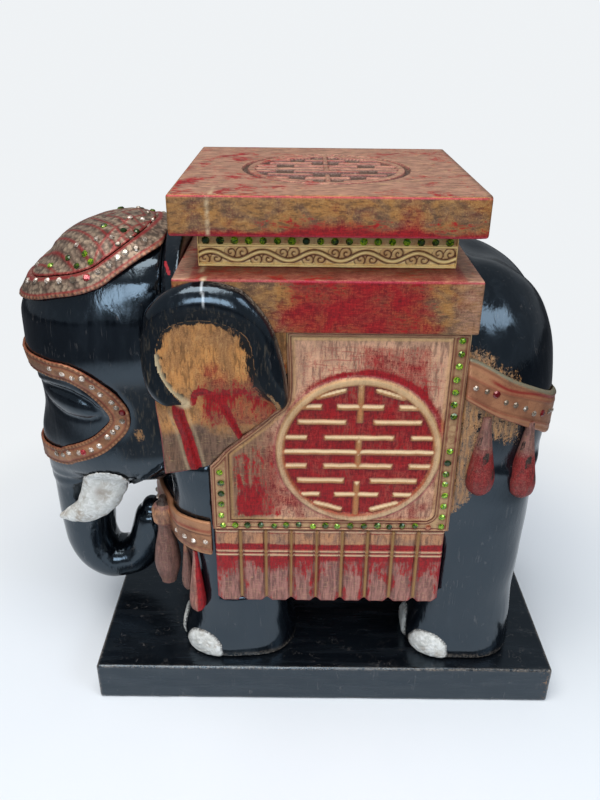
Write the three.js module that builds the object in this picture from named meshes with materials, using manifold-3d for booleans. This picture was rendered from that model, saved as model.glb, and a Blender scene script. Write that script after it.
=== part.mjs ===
// Elephant stool table: a carved and lacquered elephant on a plinth, carrying a square top.
// Millimetres, +Z up. The elephant faces -X and its left side is -Y. Lengths along X are
// measured from the glued face of the neck, and the whole is then moved so that the origin is
// the centre of the plinth's underside. Every left-hand piece is mirrored to make the right one.

import * as THREE from 'three';
import { mergeVertices } from 'three/addons/utils/BufferGeometryUtils.js';
import Module from 'manifold-3d';

const wasm = await Module();
wasm.setup();

// Driving dimensions

const seam = 0.3; // gap left at every glued or seated joint
const overrun = 4; // how far a cutting solid runs past the face that it cuts
const weld = 0.0005; // vertices closer than this are one vertex
const farX = 500; // beyond every piece, for cutting solids
const farY = 250;
const farZ = 700;

// The margins run from the neck face and from the rump to the ends of the plinth.
const plinth = { frontMargin: 75, rearMargin: 20, width: 218, height: 38, chamfer: 2.5 };

const leg = {
  length: 101, // along X, at the foot
  width: 82, // along Y, at the foot
  height: 190, // from the plinth to where it is lost in the body
  jointHeight: 112, // from the plinth to the glued joint under the body
  frontInset: 51.5, // from the neck face to the middle of the front leg
  rearInset: 57, // from the rump to the middle of the rear leg
  sideY: 56,
};

const body = {
  length: 311,
  width: 194,
  floor: 122, // lowest point of the belly
  height: 286, // belly to the top of the neck
  saddleFloor: 354, // bottom of the pocket that the saddle box sits in
  pocketRise: 12, // how far the back is carried up past its height before the pocket is cut
  sidePlane: 92, // flat cut on each flank that the cloths are seated on
  spineDip: 9, // hollow between the two haunches
};

const chest = { centreX: 30, centreZ: 165, reach: 50, halfWidth: 80, halfHeight: 62 };

const head = {
  length: 125,
  width: 148,
  floor: 188,
  height: 224,
  hiddenBack: 38, // how far its skin runs on behind the neck face before it is cut there
};
const eye = { length: 46, height: 15, bulge: 5, turn: -0.3, tilt: 0.25 };

const trunk = { rootX: -116.5, reach: 76, drop: 132, thickness: 54, width: 66 };

const tusk = { rootX: -63, topZ: 208, reach: 46, drop: 54, thickness: 40, width: 23, sideY: 43 };

const ear = {
  left: -10,
  length: 105,
  floor: 284,
  height: 109,
  thickness: 14,
  hollowDepth: 9,
  rootLength: 24, // how far the root wraps round the neck
  rootDepth: 34,
  rootFloor: 318,
  rootTop: 371,
};

const tier = { length: 214.5, width: 205.5, height: 39.2, centreX: 122.2, chamfer: 1 };
const collar = { length: 184, width: 149, height: 28.2, lip: 1.4, lipHeight: 2.4 };
const slab = { length: 214.5, width: 205.5, height: 27.7, chamfer: 2 };
const topDowel = { radius: 5, offsetX: 60, depthInSlab: 16, depthInTier: 20 };
const headDowel = { radius: 6, lowZ: 250, highZ: 318, depthInHead: 30, depthInBody: 34 };

const cloth = {
  left: 34,
  rearInset: 85, // from the rump to its right-hand edge
  floor: 180.3,
  baseThickness: 5,
  borderLeft: 15,
  borderRight: 13,
  borderFloor: 10.7,
  fieldThickness: 1.4,
  fieldMargin: 3.5, // from the cloth's curved and upper edges
};
const gemStrip = { thickness: 1.2, inset: 1.2, gemRadius: 2.6, gemHeight: 1.7, gemPitch: 10.8 };
const fringe = {
  height: 75,
  insetLeft: 1.5,
  insetRight: 3,
  thickness: 5,
  flaps: 9,
  notch: 4.5,
  rib: 2.4,
  ribHeight: 1.1,
  ribFoot: 6.8, // from the bottom of the flaps
};
const drape = { left: -3, top: 330, floor: 243, thickness: 5.4, foldThickness: 2.2 };

const sideRoundel = { radius: 63.5, fromRight: 77, centreZ: 255.5, relief: 2.1 };
const topRoundel = { radius: 64, recess: 2.4 };
const fret = { ring: 6.5, bar: 4.4 };

const cap = { thickness: 2.8 };
const capBand = { thickness: 4.2, width: 13.5 };
const strap = { thickness: 3.8, width: 17 };
const crupper = { thickness: 3.8, width: 30, fromCloth: 4 };
const breastBand = { thickness: 4, floor: 153, height: 34, back: 32.5 };

// The rear tassels hang from the crupper band: offset is along X from the middle of the rear
// leg, tuck is in from the leg's side, and drop is from the band's middle line.
const rearTassel = { radius: 11.5, length: 67 };
const rearTasselFront = { offset: -9, tuck: 0, drop: 21.6 };
const rearTasselBack = { offset: 28, tuck: 11, drop: 10.9 };
const redTassel = { radius: 7.3, length: 63, centreX: 17, sideY: 91 };
const narrowTassel = { radius: 5.2, length: 56, centreX: 6, sideY: 72 };
const bigTassel = { radius: 12, length: 90, centreX: -13, sideY: 60 };

const nail = { length: 35, frontLength: 28, height: 23, thickness: 2.6, turn: 0.86 };
const tail = { radius: 4.4, drop: 148, topZ: 286 };

const screw = { radius: 2.4, headRadius: 4.6, headHeight: 3, sink: 1.2, length: 62 };

// Number of facets round each kind of skin

const sides = {
  body: 22,
  leg: 18,
  horn: 14,
  tail: 10,
  nail: 10,
  tassel: 9,
  screw: 12,
  dowel: 16,
  roundel: 18,
  gem: 5,
  band: 12,
  strap: 18,
  chest: [14, 9],
  eye: [10, 6],
};

// Lengths and heights that follow from the pieces

const neckX = 0;
const rumpX = neckX + body.length;
const plinthLength = plinth.frontMargin + body.length + plinth.rearMargin;
const plinthCentreX = neckX - plinth.frontMargin + plinthLength / 2;
const frontLegX = neckX + leg.frontInset;
const rearLegX = rumpX - leg.rearInset;
const clothRight = rumpX - cloth.rearInset;
const fieldLeft = cloth.left + cloth.borderLeft;
const fieldRight = clothRight - cloth.borderRight;
const fieldFloor = cloth.floor + cloth.borderFloor;
const legFloor = plinth.height + seam;
const legJoint = plinth.height + leg.jointHeight;
const tierFloor = body.saddleFloor + seam;
const tierTop = tierFloor + tier.height;
const collarFloor = tierTop + seam;
const collarTop = collarFloor + collar.height;
const slabFloor = collarTop + seam;
const slabTop = slabFloor + slab.height;
const tierLeft = tier.centreX - tier.length / 2;
const tierRight = tier.centreX + tier.length / 2;
const clothTop = body.saddleFloor - seam;
const clothInner = body.sidePlane + seam;

// Solids and meshes

function solidOf(geometry) {
  const plain = geometry.clone();
  plain.deleteAttribute('normal');
  plain.deleteAttribute('uv');
  const merged = mergeVertices(plain, weld);
  const vertProperties = new Float32Array(merged.attributes.position.array);
  const triVerts = new Uint32Array(merged.index.array);
  return new wasm.Manifold(new wasm.Mesh({ numProp: 3, vertProperties, triVerts }));
}

function geometryOf(solid) {
  const mesh = solid.getMesh();
  const geometry = new THREE.BufferGeometry();
  geometry.setAttribute('position', new THREE.BufferAttribute(new Float32Array(mesh.vertProperties), 3));
  geometry.setIndex(new THREE.BufferAttribute(new Uint32Array(mesh.triVerts), 1));
  return geometry;
}

function joined(solids) {
  return solids.reduce((whole, next) => whole.add(next));
}

function cutBy(solid, tools) {
  return tools.reduce((rest, tool) => rest.subtract(tool), solid);
}

function block(xLow, xHigh, yLow, yHigh, zLow, zHigh) {
  const box = new THREE.BoxGeometry(xHigh - xLow, yHigh - yLow, zHigh - zLow);
  box.translate((xLow + xHigh) / 2, (yLow + yHigh) / 2, (zLow + zHigh) / 2);
  return solidOf(box);
}

// Everything between two heights
function layer(zLow, zHigh) {
  return block(-farX, farX, -farY, farY, zLow, zHigh);
}

// A rectangular board with chamfered edges, its lower face at zLow.
function board(size, centreX, zLow) {
  const halfLength = size.length / 2 - size.chamfer;
  const halfWidth = size.width / 2 - size.chamfer;
  const outline = new THREE.Shape([
    new THREE.Vector2(-halfLength, -halfWidth),
    new THREE.Vector2(halfLength, -halfWidth),
    new THREE.Vector2(halfLength, halfWidth),
    new THREE.Vector2(-halfLength, halfWidth),
  ]);
  const geometry = new THREE.ExtrudeGeometry(outline, {
    depth: size.height - 2 * size.chamfer,
    bevelSize: size.chamfer,
    bevelThickness: size.chamfer,
    bevelSegments: 1,
  });
  geometry.translate(centreX, 0, zLow + size.chamfer);
  return solidOf(geometry);
}

// A side-view outline of [x, z] points, extruded outwards from y = -inner by the thickness.
function sidePlate(points, inner, thickness) {
  const outline = new THREE.Shape(points.map(([x, z]) => new THREE.Vector2(x, z)));
  const geometry = new THREE.ExtrudeGeometry(outline, { depth: thickness, bevelEnabled: false });
  geometry.rotateX(Math.PI / 2);
  geometry.translate(0, -inner, 0);
  return solidOf(geometry);
}

function pointsFromShares(shares, left, length, floor, height) {
  return shares.map(([along, up]) => [left + along * length, floor + up * height]);
}

// The same line moved sideways, to its left for a positive distance, with mitred corners.
function offsetLine(points, distance, closed = false) {
  const count = points.length;
  const leftOf = (from, to) => {
    const run = Math.hypot(to[0] - from[0], to[1] - from[1]);
    return [(from[1] - to[1]) / run, (to[0] - from[0]) / run];
  };
  return points.map((point, i) => {
    const before = closed ? points[(i + count - 1) % count] : points[i - 1];
    const after = closed ? points[(i + 1) % count] : points[i + 1];
    const first = before ? leftOf(before, point) : leftOf(point, after);
    const second = after ? leftOf(point, after) : first;
    const mitre = distance / (1 + first[0] * second[0] + first[1] * second[1]);
    return [point[0] + (first[0] + second[0]) * mitre, point[1] + (first[1] + second[1]) * mitre];
  });
}

// A closed outline made wider all round.
function widened(points, distance) {
  const turn = points.reduce((sum, [x, z], i) => {
    const [nextX, nextZ] = points[(i + 1) % points.length];
    return sum + x * nextZ - nextX * z;
  }, 0);
  return offsetLine(points, turn > 0 ? -distance : distance, true);
}

function smoothLine(points, steps) {
  const curve = new THREE.SplineCurve(points.map(([x, z]) => new THREE.Vector2(x, z)));
  return curve.getPoints(steps).map((point) => [point.x, point.y]);
}

function ribbon(points, width) {
  return [...offsetLine(points, width / 2), ...offsetLine(points, -width / 2).reverse()];
}

// Lofted skins: each ring is a superellipse, whose power goes from 2, round, towards square

const roundPower = 2;
const hornPower = 2.2;
const nailPower = 1.8;

function superellipsePoint(angle, power) {
  const across = Math.cos(angle);
  const up = Math.sin(angle);
  return [
    Math.sign(across) * Math.abs(across) ** (2 / power),
    Math.sign(up) * Math.abs(up) ** (2 / power),
  ];
}

function superellipse(count, power) {
  return Array.from({ length: count }, (_, step) => {
    return superellipsePoint((2 * Math.PI * step) / count, power);
  });
}

function loft(rings) {
  const around = rings[0].length;
  const positions = [];
  const faces = [];
  for (const ring of rings) {
    for (const point of ring) positions.push(...point);
  }
  for (let row = 0; row + 1 < rings.length; row += 1) {
    for (let step = 0; step < around; step += 1) {
      const here = row * around + step;
      const next = row * around + ((step + 1) % around);
      faces.push(here, next, next + around, here, next + around, here + around);
    }
  }
  for (const row of [0, rings.length - 1]) {
    const middle = [0, 1, 2].map((axis) => {
      return rings[row].reduce((sum, point) => sum + point[axis], 0) / around;
    });
    const centre = positions.length / 3;
    positions.push(...middle);
    for (let step = 0; step < around; step += 1) {
      const here = row * around + step;
      const next = row * around + ((step + 1) % around);
      if (row === 0) faces.push(centre, next, here);
      else faces.push(centre, here, next);
    }
  }
  const geometry = new THREE.BufferGeometry();
  geometry.setAttribute('position', new THREE.Float32BufferAttribute(positions, 3));
  geometry.setIndex(faces);
  return facedOut(geometry);
}

function facedOut(geometry) {
  const at = geometry.attributes.position;
  const index = geometry.index.array;
  const a = new THREE.Vector3();
  const b = new THREE.Vector3();
  const c = new THREE.Vector3();
  let volume = 0;
  for (let i = 0; i < index.length; i += 3) {
    a.fromBufferAttribute(at, index[i]);
    b.fromBufferAttribute(at, index[i + 1]);
    c.fromBufferAttribute(at, index[i + 2]);
    volume += a.dot(b.cross(c));
  }
  if (volume < 0) {
    for (let i = 0; i < index.length; i += 3) {
      const kept = index[i + 1];
      index[i + 1] = index[i + 2];
      index[i + 2] = kept;
    }
  }
  return geometry;
}

// The same closed skin moved outwards along its normals.
function grown(geometry, distance) {
  const plain = geometry.clone();
  plain.deleteAttribute('normal');
  plain.deleteAttribute('uv');
  const merged = mergeVertices(plain, weld);
  merged.computeVertexNormals();
  const at = merged.attributes.position;
  const normal = merged.attributes.normal;
  for (let i = 0; i < at.count; i += 1) {
    at.setXYZ(
      i,
      at.getX(i) + distance * normal.getX(i),
      at.getY(i) + distance * normal.getY(i),
      at.getZ(i) + distance * normal.getZ(i),
    );
  }
  return solidOf(merged);
}

// Torso: stations along X as [along, half width, low, high, power, dip], shares of the body.

const bodyShares = [
  [0, 0.86, 0.1, 1, 2.5, 0],
  [0.03, 0.95, 0.06, 1, 2.6, 0],
  [0.088, 0.98, 0.03, 1, 2.8, 0],
  [0.22, 1, 0.01, 1, 3, 0],
  [0.41, 1, 0, 1, 3, 0],
  [0.6, 1, 0.01, 1, 3, 0],
  [0.72, 1, 0.045, 1, 2.9, 0.2],
  [0.742, 1, 0.05, 0.955, 2.7, 0.6],
  [0.81, 0.98, 0.08, 0.945, 2.5, 1],
  [0.882, 0.9, 0.13, 0.91, 2.4, 1],
  [0.938, 0.77, 0.2, 0.855, 2.3, 1],
  [0.974, 0.6, 0.28, 0.785, 2.2, 0.8],
  [0.995, 0.36, 0.36, 0.69, 2.1, 0.4],
  [1, 0.12, 0.44, 0.6, 2, 0],
];
const pocketShares = [0.06, 0.73]; // stretch whose back is carried up for the saddle pocket
const spineShare = 0.3; // how far across the back the hollow between the haunches reaches

function bodyRing([along, wide, low, high, power, dip]) {
  const inPocket = along > pocketShares[0] && along < pocketShares[1];
  const lowZ = body.floor + low * body.height;
  const highZ = inPocket ? body.floor + body.height + body.pocketRise : body.floor + high * body.height;
  const x = neckX + along * body.length;
  const halfWidth = (wide * body.width) / 2;
  const centreZ = (lowZ + highZ) / 2;
  return superellipse(sides.body, power).map(([across, up]) => {
    const hollow = up > 0 ? body.spineDip * dip * Math.exp(-((across / spineShare) ** 2)) * up : 0;
    return [x, across * halfWidth, centreZ + (up * (highZ - lowZ)) / 2 - hollow];
  });
}

const bodySkin = loft(bodyShares.map(bodyRing));

const chestSkin = new THREE.SphereGeometry(1, ...sides.chest);
chestSkin.scale(chest.reach, chest.halfWidth, chest.halfHeight);
chestSkin.translate(chest.centreX, 0, chest.centreZ);

// Legs: stations up Z as [up, front, back, half width, power], shares of the leg.

const frontLegShares = [
  [0, 0.5, 0.5, 1, 2.7],
  [0.06, 0.51, 0.5, 1.02, 2.7],
  [0.18, 0.46, 0.47, 0.96, 2.6],
  [0.36, 0.43, 0.45, 0.93, 2.5],
  [0.6, 0.43, 0.45, 0.95, 2.5],
  [0.85, 0.44, 0.48, 0.95, 2.5],
  [1, 0.42, 0.48, 0.88, 2.4],
];
const rearLegShares = [
  [0, 0.5, 0.44, 1, 2.7],
  [0.06, 0.51, 0.45, 1.02, 2.7],
  [0.18, 0.46, 0.43, 0.96, 2.6],
  [0.36, 0.43, 0.42, 0.93, 2.5],
  [0.6, 0.43, 0.42, 0.94, 2.5],
  [0.85, 0.44, 0.43, 0.9, 2.4],
  [1, 0.42, 0.41, 0.78, 2.3],
];

function legSkin(shares, centreX, side) {
  return loft(
    shares.map(([up, front, back, wide, power]) => {
      const lowX = centreX - front * leg.length;
      const highX = centreX + back * leg.length;
      return superellipse(sides.leg, power).map(([along, across]) => [
        (lowX + highX) / 2 + (along * (highX - lowX)) / 2,
        side * leg.sideY + (across * wide * leg.width) / 2,
        legFloor + up * leg.height,
      ]);
    }),
  );
}

const legPlaces = [
  { name: 'front_left', shares: frontLegShares, x: frontLegX, side: -1 },
  { name: 'front_right', shares: frontLegShares, x: frontLegX, side: 1 },
  { name: 'rear_left', shares: rearLegShares, x: rearLegX, side: -1 },
  { name: 'rear_right', shares: rearLegShares, x: rearLegX, side: 1 },
].map((place) => ({ ...place, skin: legSkin(place.shares, place.x, place.side) }));

function flanks(distance) {
  return joined([
    grown(bodySkin, distance),
    grown(chestSkin, distance),
    ...legPlaces.map((place) => grown(place.skin, distance)),
  ]);
}

// Head: stations up Z as [up, front, half width, power], shares of the head.

const headShares = [
  [0, 0.926, 0.5, 2.3],
  [0.03, 0.94, 0.64, 2.3],
  [0.075, 0.942, 0.77, 2.4],
  [0.165, 0.942, 0.83, 2.4],
  [0.26, 0.942, 0.84, 2.4],
  [0.345, 0.934, 0.85, 2.4],
  [0.44, 0.942, 0.89, 2.4],
  [0.5, 0.967, 0.95, 2.4],
  [0.59, 0.992, 0.99, 2.4],
  [0.69, 0.985, 0.985, 2.4],
  [0.775, 0.925, 0.94, 2.3],
  [0.84, 0.835, 0.88, 2.3],
  [0.875, 0.755, 0.82, 2.2],
  [0.915, 0.7, 0.74, 2.2],
  [0.955, 0.59, 0.6, 2.1],
  [0.98, 0.47, 0.43, 2],
  [1, 0.3, 0.2, 2],
];
const crownShare = 0.9; // above this share of its height the crown closes towards the back
const crownClosingShare = 1.7; // how far its back moves forwards there, as a share of hiddenBack

function headRing([up, front, wide, power]) {
  const frontX = neckX - front * head.length;
  const closing = Math.max(0, (up - crownShare) / (1 - crownShare));
  const backX = neckX + head.hiddenBack * (1 - closing * crownClosingShare);
  return superellipse(sides.body, power).map(([along, across]) => [
    (frontX + backX) / 2 + (along * (backX - frontX)) / 2,
    (across * wide * head.width) / 2,
    head.floor + up * head.height,
  ]);
}

const headSkin = loft(headShares.map(headRing));
const behindNeck = block(neckX - seam, farX, -farY, farY, 0, farZ);

const eyeShares = [0.67, 0.38, 0.39]; // place on the cheek: along, up and across the head
const eyeSkin = new THREE.SphereGeometry(1, ...sides.eye);
eyeSkin.scale(eye.length / 2, eye.bulge, eye.height / 2);
eyeSkin.rotateY(eye.tilt);
eyeSkin.rotateZ(eye.turn);
eyeSkin.translate(
  neckX - eyeShares[0] * head.length,
  -eyeShares[2] * head.width,
  head.floor + eyeShares[1] * head.height,
);

function mirrored(geometry) {
  const other = geometry.clone();
  other.scale(1, -1, 1);
  if (!other.index) return other;
  const index = other.index.array;
  for (let i = 0; i < index.length; i += 3) {
    const kept = index[i];
    index[i] = index[i + 1];
    index[i + 1] = kept;
  }
  return other;
}

// Trunk and tusks: a path in the XZ plane with its half thickness and half width, in shares.

function sweptHorn(shares, topZ, size, sideY) {
  const path = shares.map(([along, down]) => [
    size.rootX + along * size.reach,
    topZ - down * size.drop,
  ]);
  const rings = shares.map(([, , thick, wide], i) => {
    const [beforeX, beforeZ] = path[Math.max(i - 1, 0)];
    const [afterX, afterZ] = path[Math.min(i + 1, path.length - 1)];
    const run = Math.hypot(afterX - beforeX, afterZ - beforeZ);
    const acrossX = i === 0 ? 1 : -(afterZ - beforeZ) / run;
    const acrossZ = i === 0 ? 0 : (afterX - beforeX) / run;
    return superellipse(sides.horn, hornPower).map(([inPlane, across]) => [
      path[i][0] + (inPlane * thick * size.thickness * acrossX) / 2,
      -sideY + (across * wide * size.width) / 2,
      path[i][1] + (inPlane * thick * size.thickness * acrossZ) / 2,
    ]);
  });
  return loft(rings);
}

const trunkShares = [
  [0.285, 0, 1, 1],
  [0.275, 0.17, 0.98, 0.95],
  [0.255, 0.38, 0.92, 0.88],
  [0.25, 0.58, 0.85, 0.82],
  [0.33, 0.755, 0.79, 0.76],
  [0.53, 0.845, 0.72, 0.7],
  [0.76, 0.825, 0.68, 0.65],
  [0.9, 0.715, 0.66, 0.6],
  [0.955, 0.555, 0.64, 0.56],
  [0.965, 0.39, 0.56, 0.49],
  [0.97, 0.335, 0.36, 0.32],
];
const trunkSkin = sweptHorn(trunkShares, head.floor - seam, trunk, 0);

const tuskShares = [
  [0, 0, 1, 0.86],
  [-0.05, 0.33, 0.98, 1],
  [-0.22, 0.65, 0.86, 1],
  [-0.48, 0.87, 0.6, 0.86],
  [-0.76, 0.97, 0.36, 0.64],
  [-0.97, 1, 0.14, 0.34],
];
const tuskSkin = sweptHorn(tuskShares, tusk.topZ, tusk, tusk.sideY);

// Outlines on the flank, as shares of the piece that they belong to

const clothTopShare = 0.31; // where the cloth's upper edge starts, below the ear
const clothShares = [
  [0, 0],
  [1, 0],
  [1, 1],
  [clothTopShare, 1],
];
const clothCurveShares = [
  [0.312, 0.7],
  [0.25, 0.612],
  [0.17, 0.53],
  [0.075, 0.44],
  [0.03, 0.38],
  [0, 0.345],
];
const clothLength = clothRight - cloth.left;
const clothHeight = clothTop - cloth.floor;

function onCloth(shares) {
  return pointsFromShares(shares, cloth.left, clothLength, cloth.floor, clothHeight);
}

const clothCurve = onCloth(clothCurveShares);
const clothOutline = [...onCloth(clothShares), ...clothCurve];

const drapeCurve = offsetLine(clothCurve, -seam);
const drapeShares = [
  [1, 1],
  [0, 1],
  [0, 0.69],
  [0.065, -0.035],
  [0.155, 0.04],
  [0.25, 0.22],
  [0.33, 0],
  [0.4, 0],
];
const drapeLength = cloth.left + clothTopShare * clothLength - seam - drape.left;
const drapeHeight = drape.top - drape.floor;

function onDrape(shares) {
  return pointsFromShares(shares, drape.left, drapeLength, drape.floor, drapeHeight);
}

const drapeOutline = [...onDrape(drapeShares), ...drapeCurve.slice(0, -1).reverse()];
const foldShares = [
  [0.2, 0.52],
  [0.335, 0.01],
  [0.39, 0.01],
  [0.5, 0.17],
  [0.6, 0.31],
  [0.52, 0.65],
  [0.32, 0.75],
];
const foldOutline = onDrape(foldShares);

const earShares = [
  [0.257, 0.12],
  [0.143, 0.13],
  [0.05, 0.2],
  [0.01, 0.31],
  [0, 0.47],
  [0.02, 0.65],
  [0.105, 0.85],
  [0.27, 0.965],
  [0.455, 1],
  [0.6, 0.98],
  [0.73, 0.92],
  [0.88, 0.73],
  [0.965, 0.485],
  [1, 0.26],
  [0.985, 0.12],
  [0.865, 0.06],
  [0.72, 0.01],
  [0.55, 0],
  [0.39, 0.045],
];
const hollowShares = [
  [0.252, -0.06],
  [0.255, 0.15],
  [0.15, 0.31],
  [0.12, 0.47],
  [0.155, 0.62],
  [0.245, 0.73],
  [0.38, 0.785],
  [0.505, 0.77],
  [0.615, 0.7],
  [0.735, 0.56],
  [0.83, 0.34],
  [0.9, 0.15],
  [0.88, -0.06],
];

function onEar(shares) {
  return pointsFromShares(shares, ear.left, ear.length, ear.floor, ear.height).reverse();
}

const earOutline = onEar(earShares);
const hollowOutline = onEar(hollowShares);

// A roundel: a ring filled with a plain fret of bars, the same above and below its middle.

const fretShares = [
  { up: 0, spans: [[0, 0.95]] },
  { up: 0.2, spans: [[0, 0.42], [0.62, 0.93]] },
  { up: 0.41, spans: [[0.16, 0.74]] },
  { up: 0.61, spans: [[0, 0.28], [0.45, 0.76]] },
];
const spineShares = [[0, 0.2], [0.41, 0.93]];
const slantShares = [[0.2, 0.83], [0.5, 0.74]];

function flatPrism(points, height) {
  const outline = new THREE.Shape(points.map(([x, y]) => new THREE.Vector2(x, y)));
  return solidOf(new THREE.ExtrudeGeometry(outline, { depth: height, bevelEnabled: false }));
}

function ringPrism(outer, inner, height) {
  const outline = new THREE.Shape().absarc(0, 0, outer, 0, 2 * Math.PI, false);
  const hole = new THREE.Path().absarc(0, 0, inner, 0, 2 * Math.PI, true);
  outline.holes.push(hole);
  const settings = { depth: height, bevelEnabled: false, curveSegments: sides.roundel };
  return solidOf(new THREE.ExtrudeGeometry(outline, settings));
}

function discPrism(radius, height) {
  const outline = new THREE.Shape().absarc(0, 0, radius, 0, 2 * Math.PI, false);
  const settings = { depth: height, bevelEnabled: false, curveSegments: sides.roundel };
  return solidOf(new THREE.ExtrudeGeometry(outline, settings));
}

function roundelRelief(radius, height) {
  const pieces = [ringPrism(radius, radius - fret.ring, height)];
  const half = fret.bar / 2;
  for (const [from, to] of spineShares) {
    for (const sign of [-1, 1]) {
      const [low, high] = [sign * from * radius, sign * to * radius].sort((a, b) => a - b);
      pieces.push(flatPrism([[-half, low], [half, low], [half, high], [-half, high]], height));
    }
  }
  for (const row of fretShares) {
    for (const up of row.up === 0 ? [0] : [-row.up * radius, row.up * radius]) {
      for (const [from, to] of row.spans) {
        const right = to * radius;
        for (const left of from === 0 ? [-right] : [from * radius, -right]) {
          const end = from === 0 || left > 0 ? right : -from * radius;
          const bar = [[left, up - half], [end, up - half], [end, up + half], [left, up + half]];
          pieces.push(flatPrism(bar, height));
        }
      }
    }
  }
  const slant = slantShares.map(([x, y]) => [x * radius, y * radius]);
  for (const across of [-1, 1]) {
    for (const up of [-1, 1]) {
      const bar = ribbon(slant.map(([x, y]) => [x * across, y * up]), fret.bar);
      pieces.push(flatPrism(across * up > 0 ? bar.reverse() : bar, height));
    }
  }
  return joined(pieces);
}

// Tassels, nails and fasteners

const tasselShares = [
  [0, 1],
  [0.3, 1],
  [0.36, 0.88],
  [0.55, 0.68],
  [0.82, 0.42],
  [1, 0.2],
  [0.88, 0.07],
  [0.5, 0],
  [0, 0],
];
const knotTasselShares = [
  [0, 1],
  [0.5, 0.97],
  [0.85, 0.86],
  [0.8, 0.74],
  [0.42, 0.66],
  [0.6, 0.5],
  [0.95, 0.26],
  [1, 0.12],
  [0.6, 0.01],
  [0, 0],
];

function tasselSkin(shares, size, x, y, topZ) {
  const profile = shares.map(([out, up]) => new THREE.Vector2(out * size.radius, up * size.length));
  const geometry = new THREE.LatheGeometry(profile.reverse(), sides.tassel);
  geometry.rotateX(Math.PI / 2);
  geometry.translate(x, y, topZ - size.length);
  return solidOf(geometry);
}

function rod(radius, from, to, axis) {
  const geometry = new THREE.CylinderGeometry(radius, radius, to - from, sides.dowel);
  if (axis === 'x') geometry.rotateZ(Math.PI / 2);
  else geometry.rotateX(Math.PI / 2);
  const middle = (from + to) / 2;
  geometry.translate(axis === 'x' ? middle : 0, 0, axis === 'x' ? 0 : middle);
  return geometry;
}

// A toenail is the part of the foot's grown skin that lies in a leaf-shaped prism. The plan
// angle runs round the foot's own superellipse, with its front at pi.
function nailSolid(place, plan, length) {
  const [, front, back, wide, power] = place.shares[0];
  const [across, up] = superellipsePoint(plan, power);
  const slope = [across, up].map((share) => Math.sign(share) * Math.abs(share) ** (power - 1));
  const halfX = ((front + back) * leg.length) / 2;
  const halfY = (wide * leg.width) / 2;
  const normal = new THREE.Vector3(slope[0] / halfX, slope[1] / halfY, 0).normalize();
  const upwards = new THREE.Vector3(0, 0, 1);
  const along = new THREE.Vector3().crossVectors(upwards, normal);
  const leaf = superellipse(sides.nail, nailPower).map(([x, y]) => [(x * length) / 2, y * nail.height]);
  const depth = leg.width / 2;
  const region = geometryOf(flatPrism(leaf, depth));
  region.applyMatrix4(new THREE.Matrix4().makeBasis(along, upwards, normal));
  region.translate(
    place.x + ((back - front) * leg.length) / 2 + across * halfX - (normal.x * depth) / 2,
    place.side * leg.sideY + up * halfY - (normal.y * depth) / 2,
    legFloor,
  );
  const plate = grown(place.skin, nail.thickness).intersect(solidOf(region));
  return plate.subtract(grown(place.skin, seam)).intersect(belowJoint);
}

// Assembly

const finishes = {
  black: { color: 0x15171b, roughness: 0.28, metalness: 0 },
  redGold: { color: 0x8e4a2e, roughness: 0.5, metalness: 0.2 },
  gold: { color: 0xb08a4a, roughness: 0.42, metalness: 0.5 },
  bronze: { color: 0x8a7660, roughness: 0.45, metalness: 0.4 },
  crimson: { color: 0x9c1f26, roughness: 0.4, metalness: 0 },
  green: { color: 0x4f7a22, roughness: 0.2, metalness: 0 },
  white: { color: 0xe6e3dc, roughness: 0.6, metalness: 0 },
  wood: { color: 0xb98a58, roughness: 0.7, metalness: 0 },
  steel: { color: 0x9a9da1, roughness: 0.35, metalness: 0.9 },
};

const table = new THREE.Group();

function add(name, solid, finish, mirror = false) {
  const mesh = new THREE.Mesh(geometryOf(solid), new THREE.MeshStandardMaterial(finishes[finish]));
  mesh.name = name;
  if (mirror) mesh.scale.y = -1;
  table.add(mesh);
}

function addPair(name, solid, finish) {
  add(`${name}_left`, solid, finish);
  add(`${name}_right`, solid, finish, true);
}

// The body is cut flat under each plate on its flank, with a seam all round the plate.

function flankCutter(outline, inner, thickness) {
  return sidePlate(widened(outline, seam), inner, thickness);
}

const fringeLeft = cloth.left + fringe.insetLeft;
const fringeRight = clothRight - fringe.insetRight;
const fringeTop = cloth.floor - seam;
const fringeFloor = fringeTop - fringe.height;
const flapWidth = (fringeRight - fringeLeft) / fringe.flaps;

function fringeOutline() {
  const points = [[fringeRight, fringeTop], [fringeLeft, fringeTop]];
  for (let flap = 0; flap < fringe.flaps; flap += 1) {
    const left = fringeLeft + flap * flapWidth;
    const right = left + flapWidth;
    points.push([left, fringeFloor + fringe.notch]);
    points.push([left + fringe.notch, fringeFloor]);
    points.push([right - fringe.notch, fringeFloor]);
  }
  points.push([fringeRight, fringeFloor + fringe.notch]);
  return points;
}

const saddleCutter = block(tierLeft - seam, tierRight + seam, -farY, farY, body.saddleFloor, farZ);
const fringeBox = [
  [fringeLeft, fringeFloor],
  [fringeRight, fringeFloor],
  [fringeRight, fringeTop + seam],
  [fringeLeft, fringeTop + seam],
];
const flankCutters = [clothOutline, drapeOutline, fringeBox].map((outline) => {
  return flankCutter(outline, body.sidePlane, farY - body.sidePlane);
});
const bothFlankCutters = flankCutters.flatMap((cutter) => {
  return [cutter, solidOf(mirrored(geometryOf(cutter)))];
});

const headDowelHoles = [headDowel.lowZ, headDowel.highZ].map((z) => {
  const hole = rod(
    headDowel.radius + seam,
    neckX - headDowel.depthInHead - seam,
    neckX + headDowel.depthInBody + seam,
    'x',
  );
  hole.translate(0, 0, z);
  return solidOf(hole);
});

// Plinth, legs and screws

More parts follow.
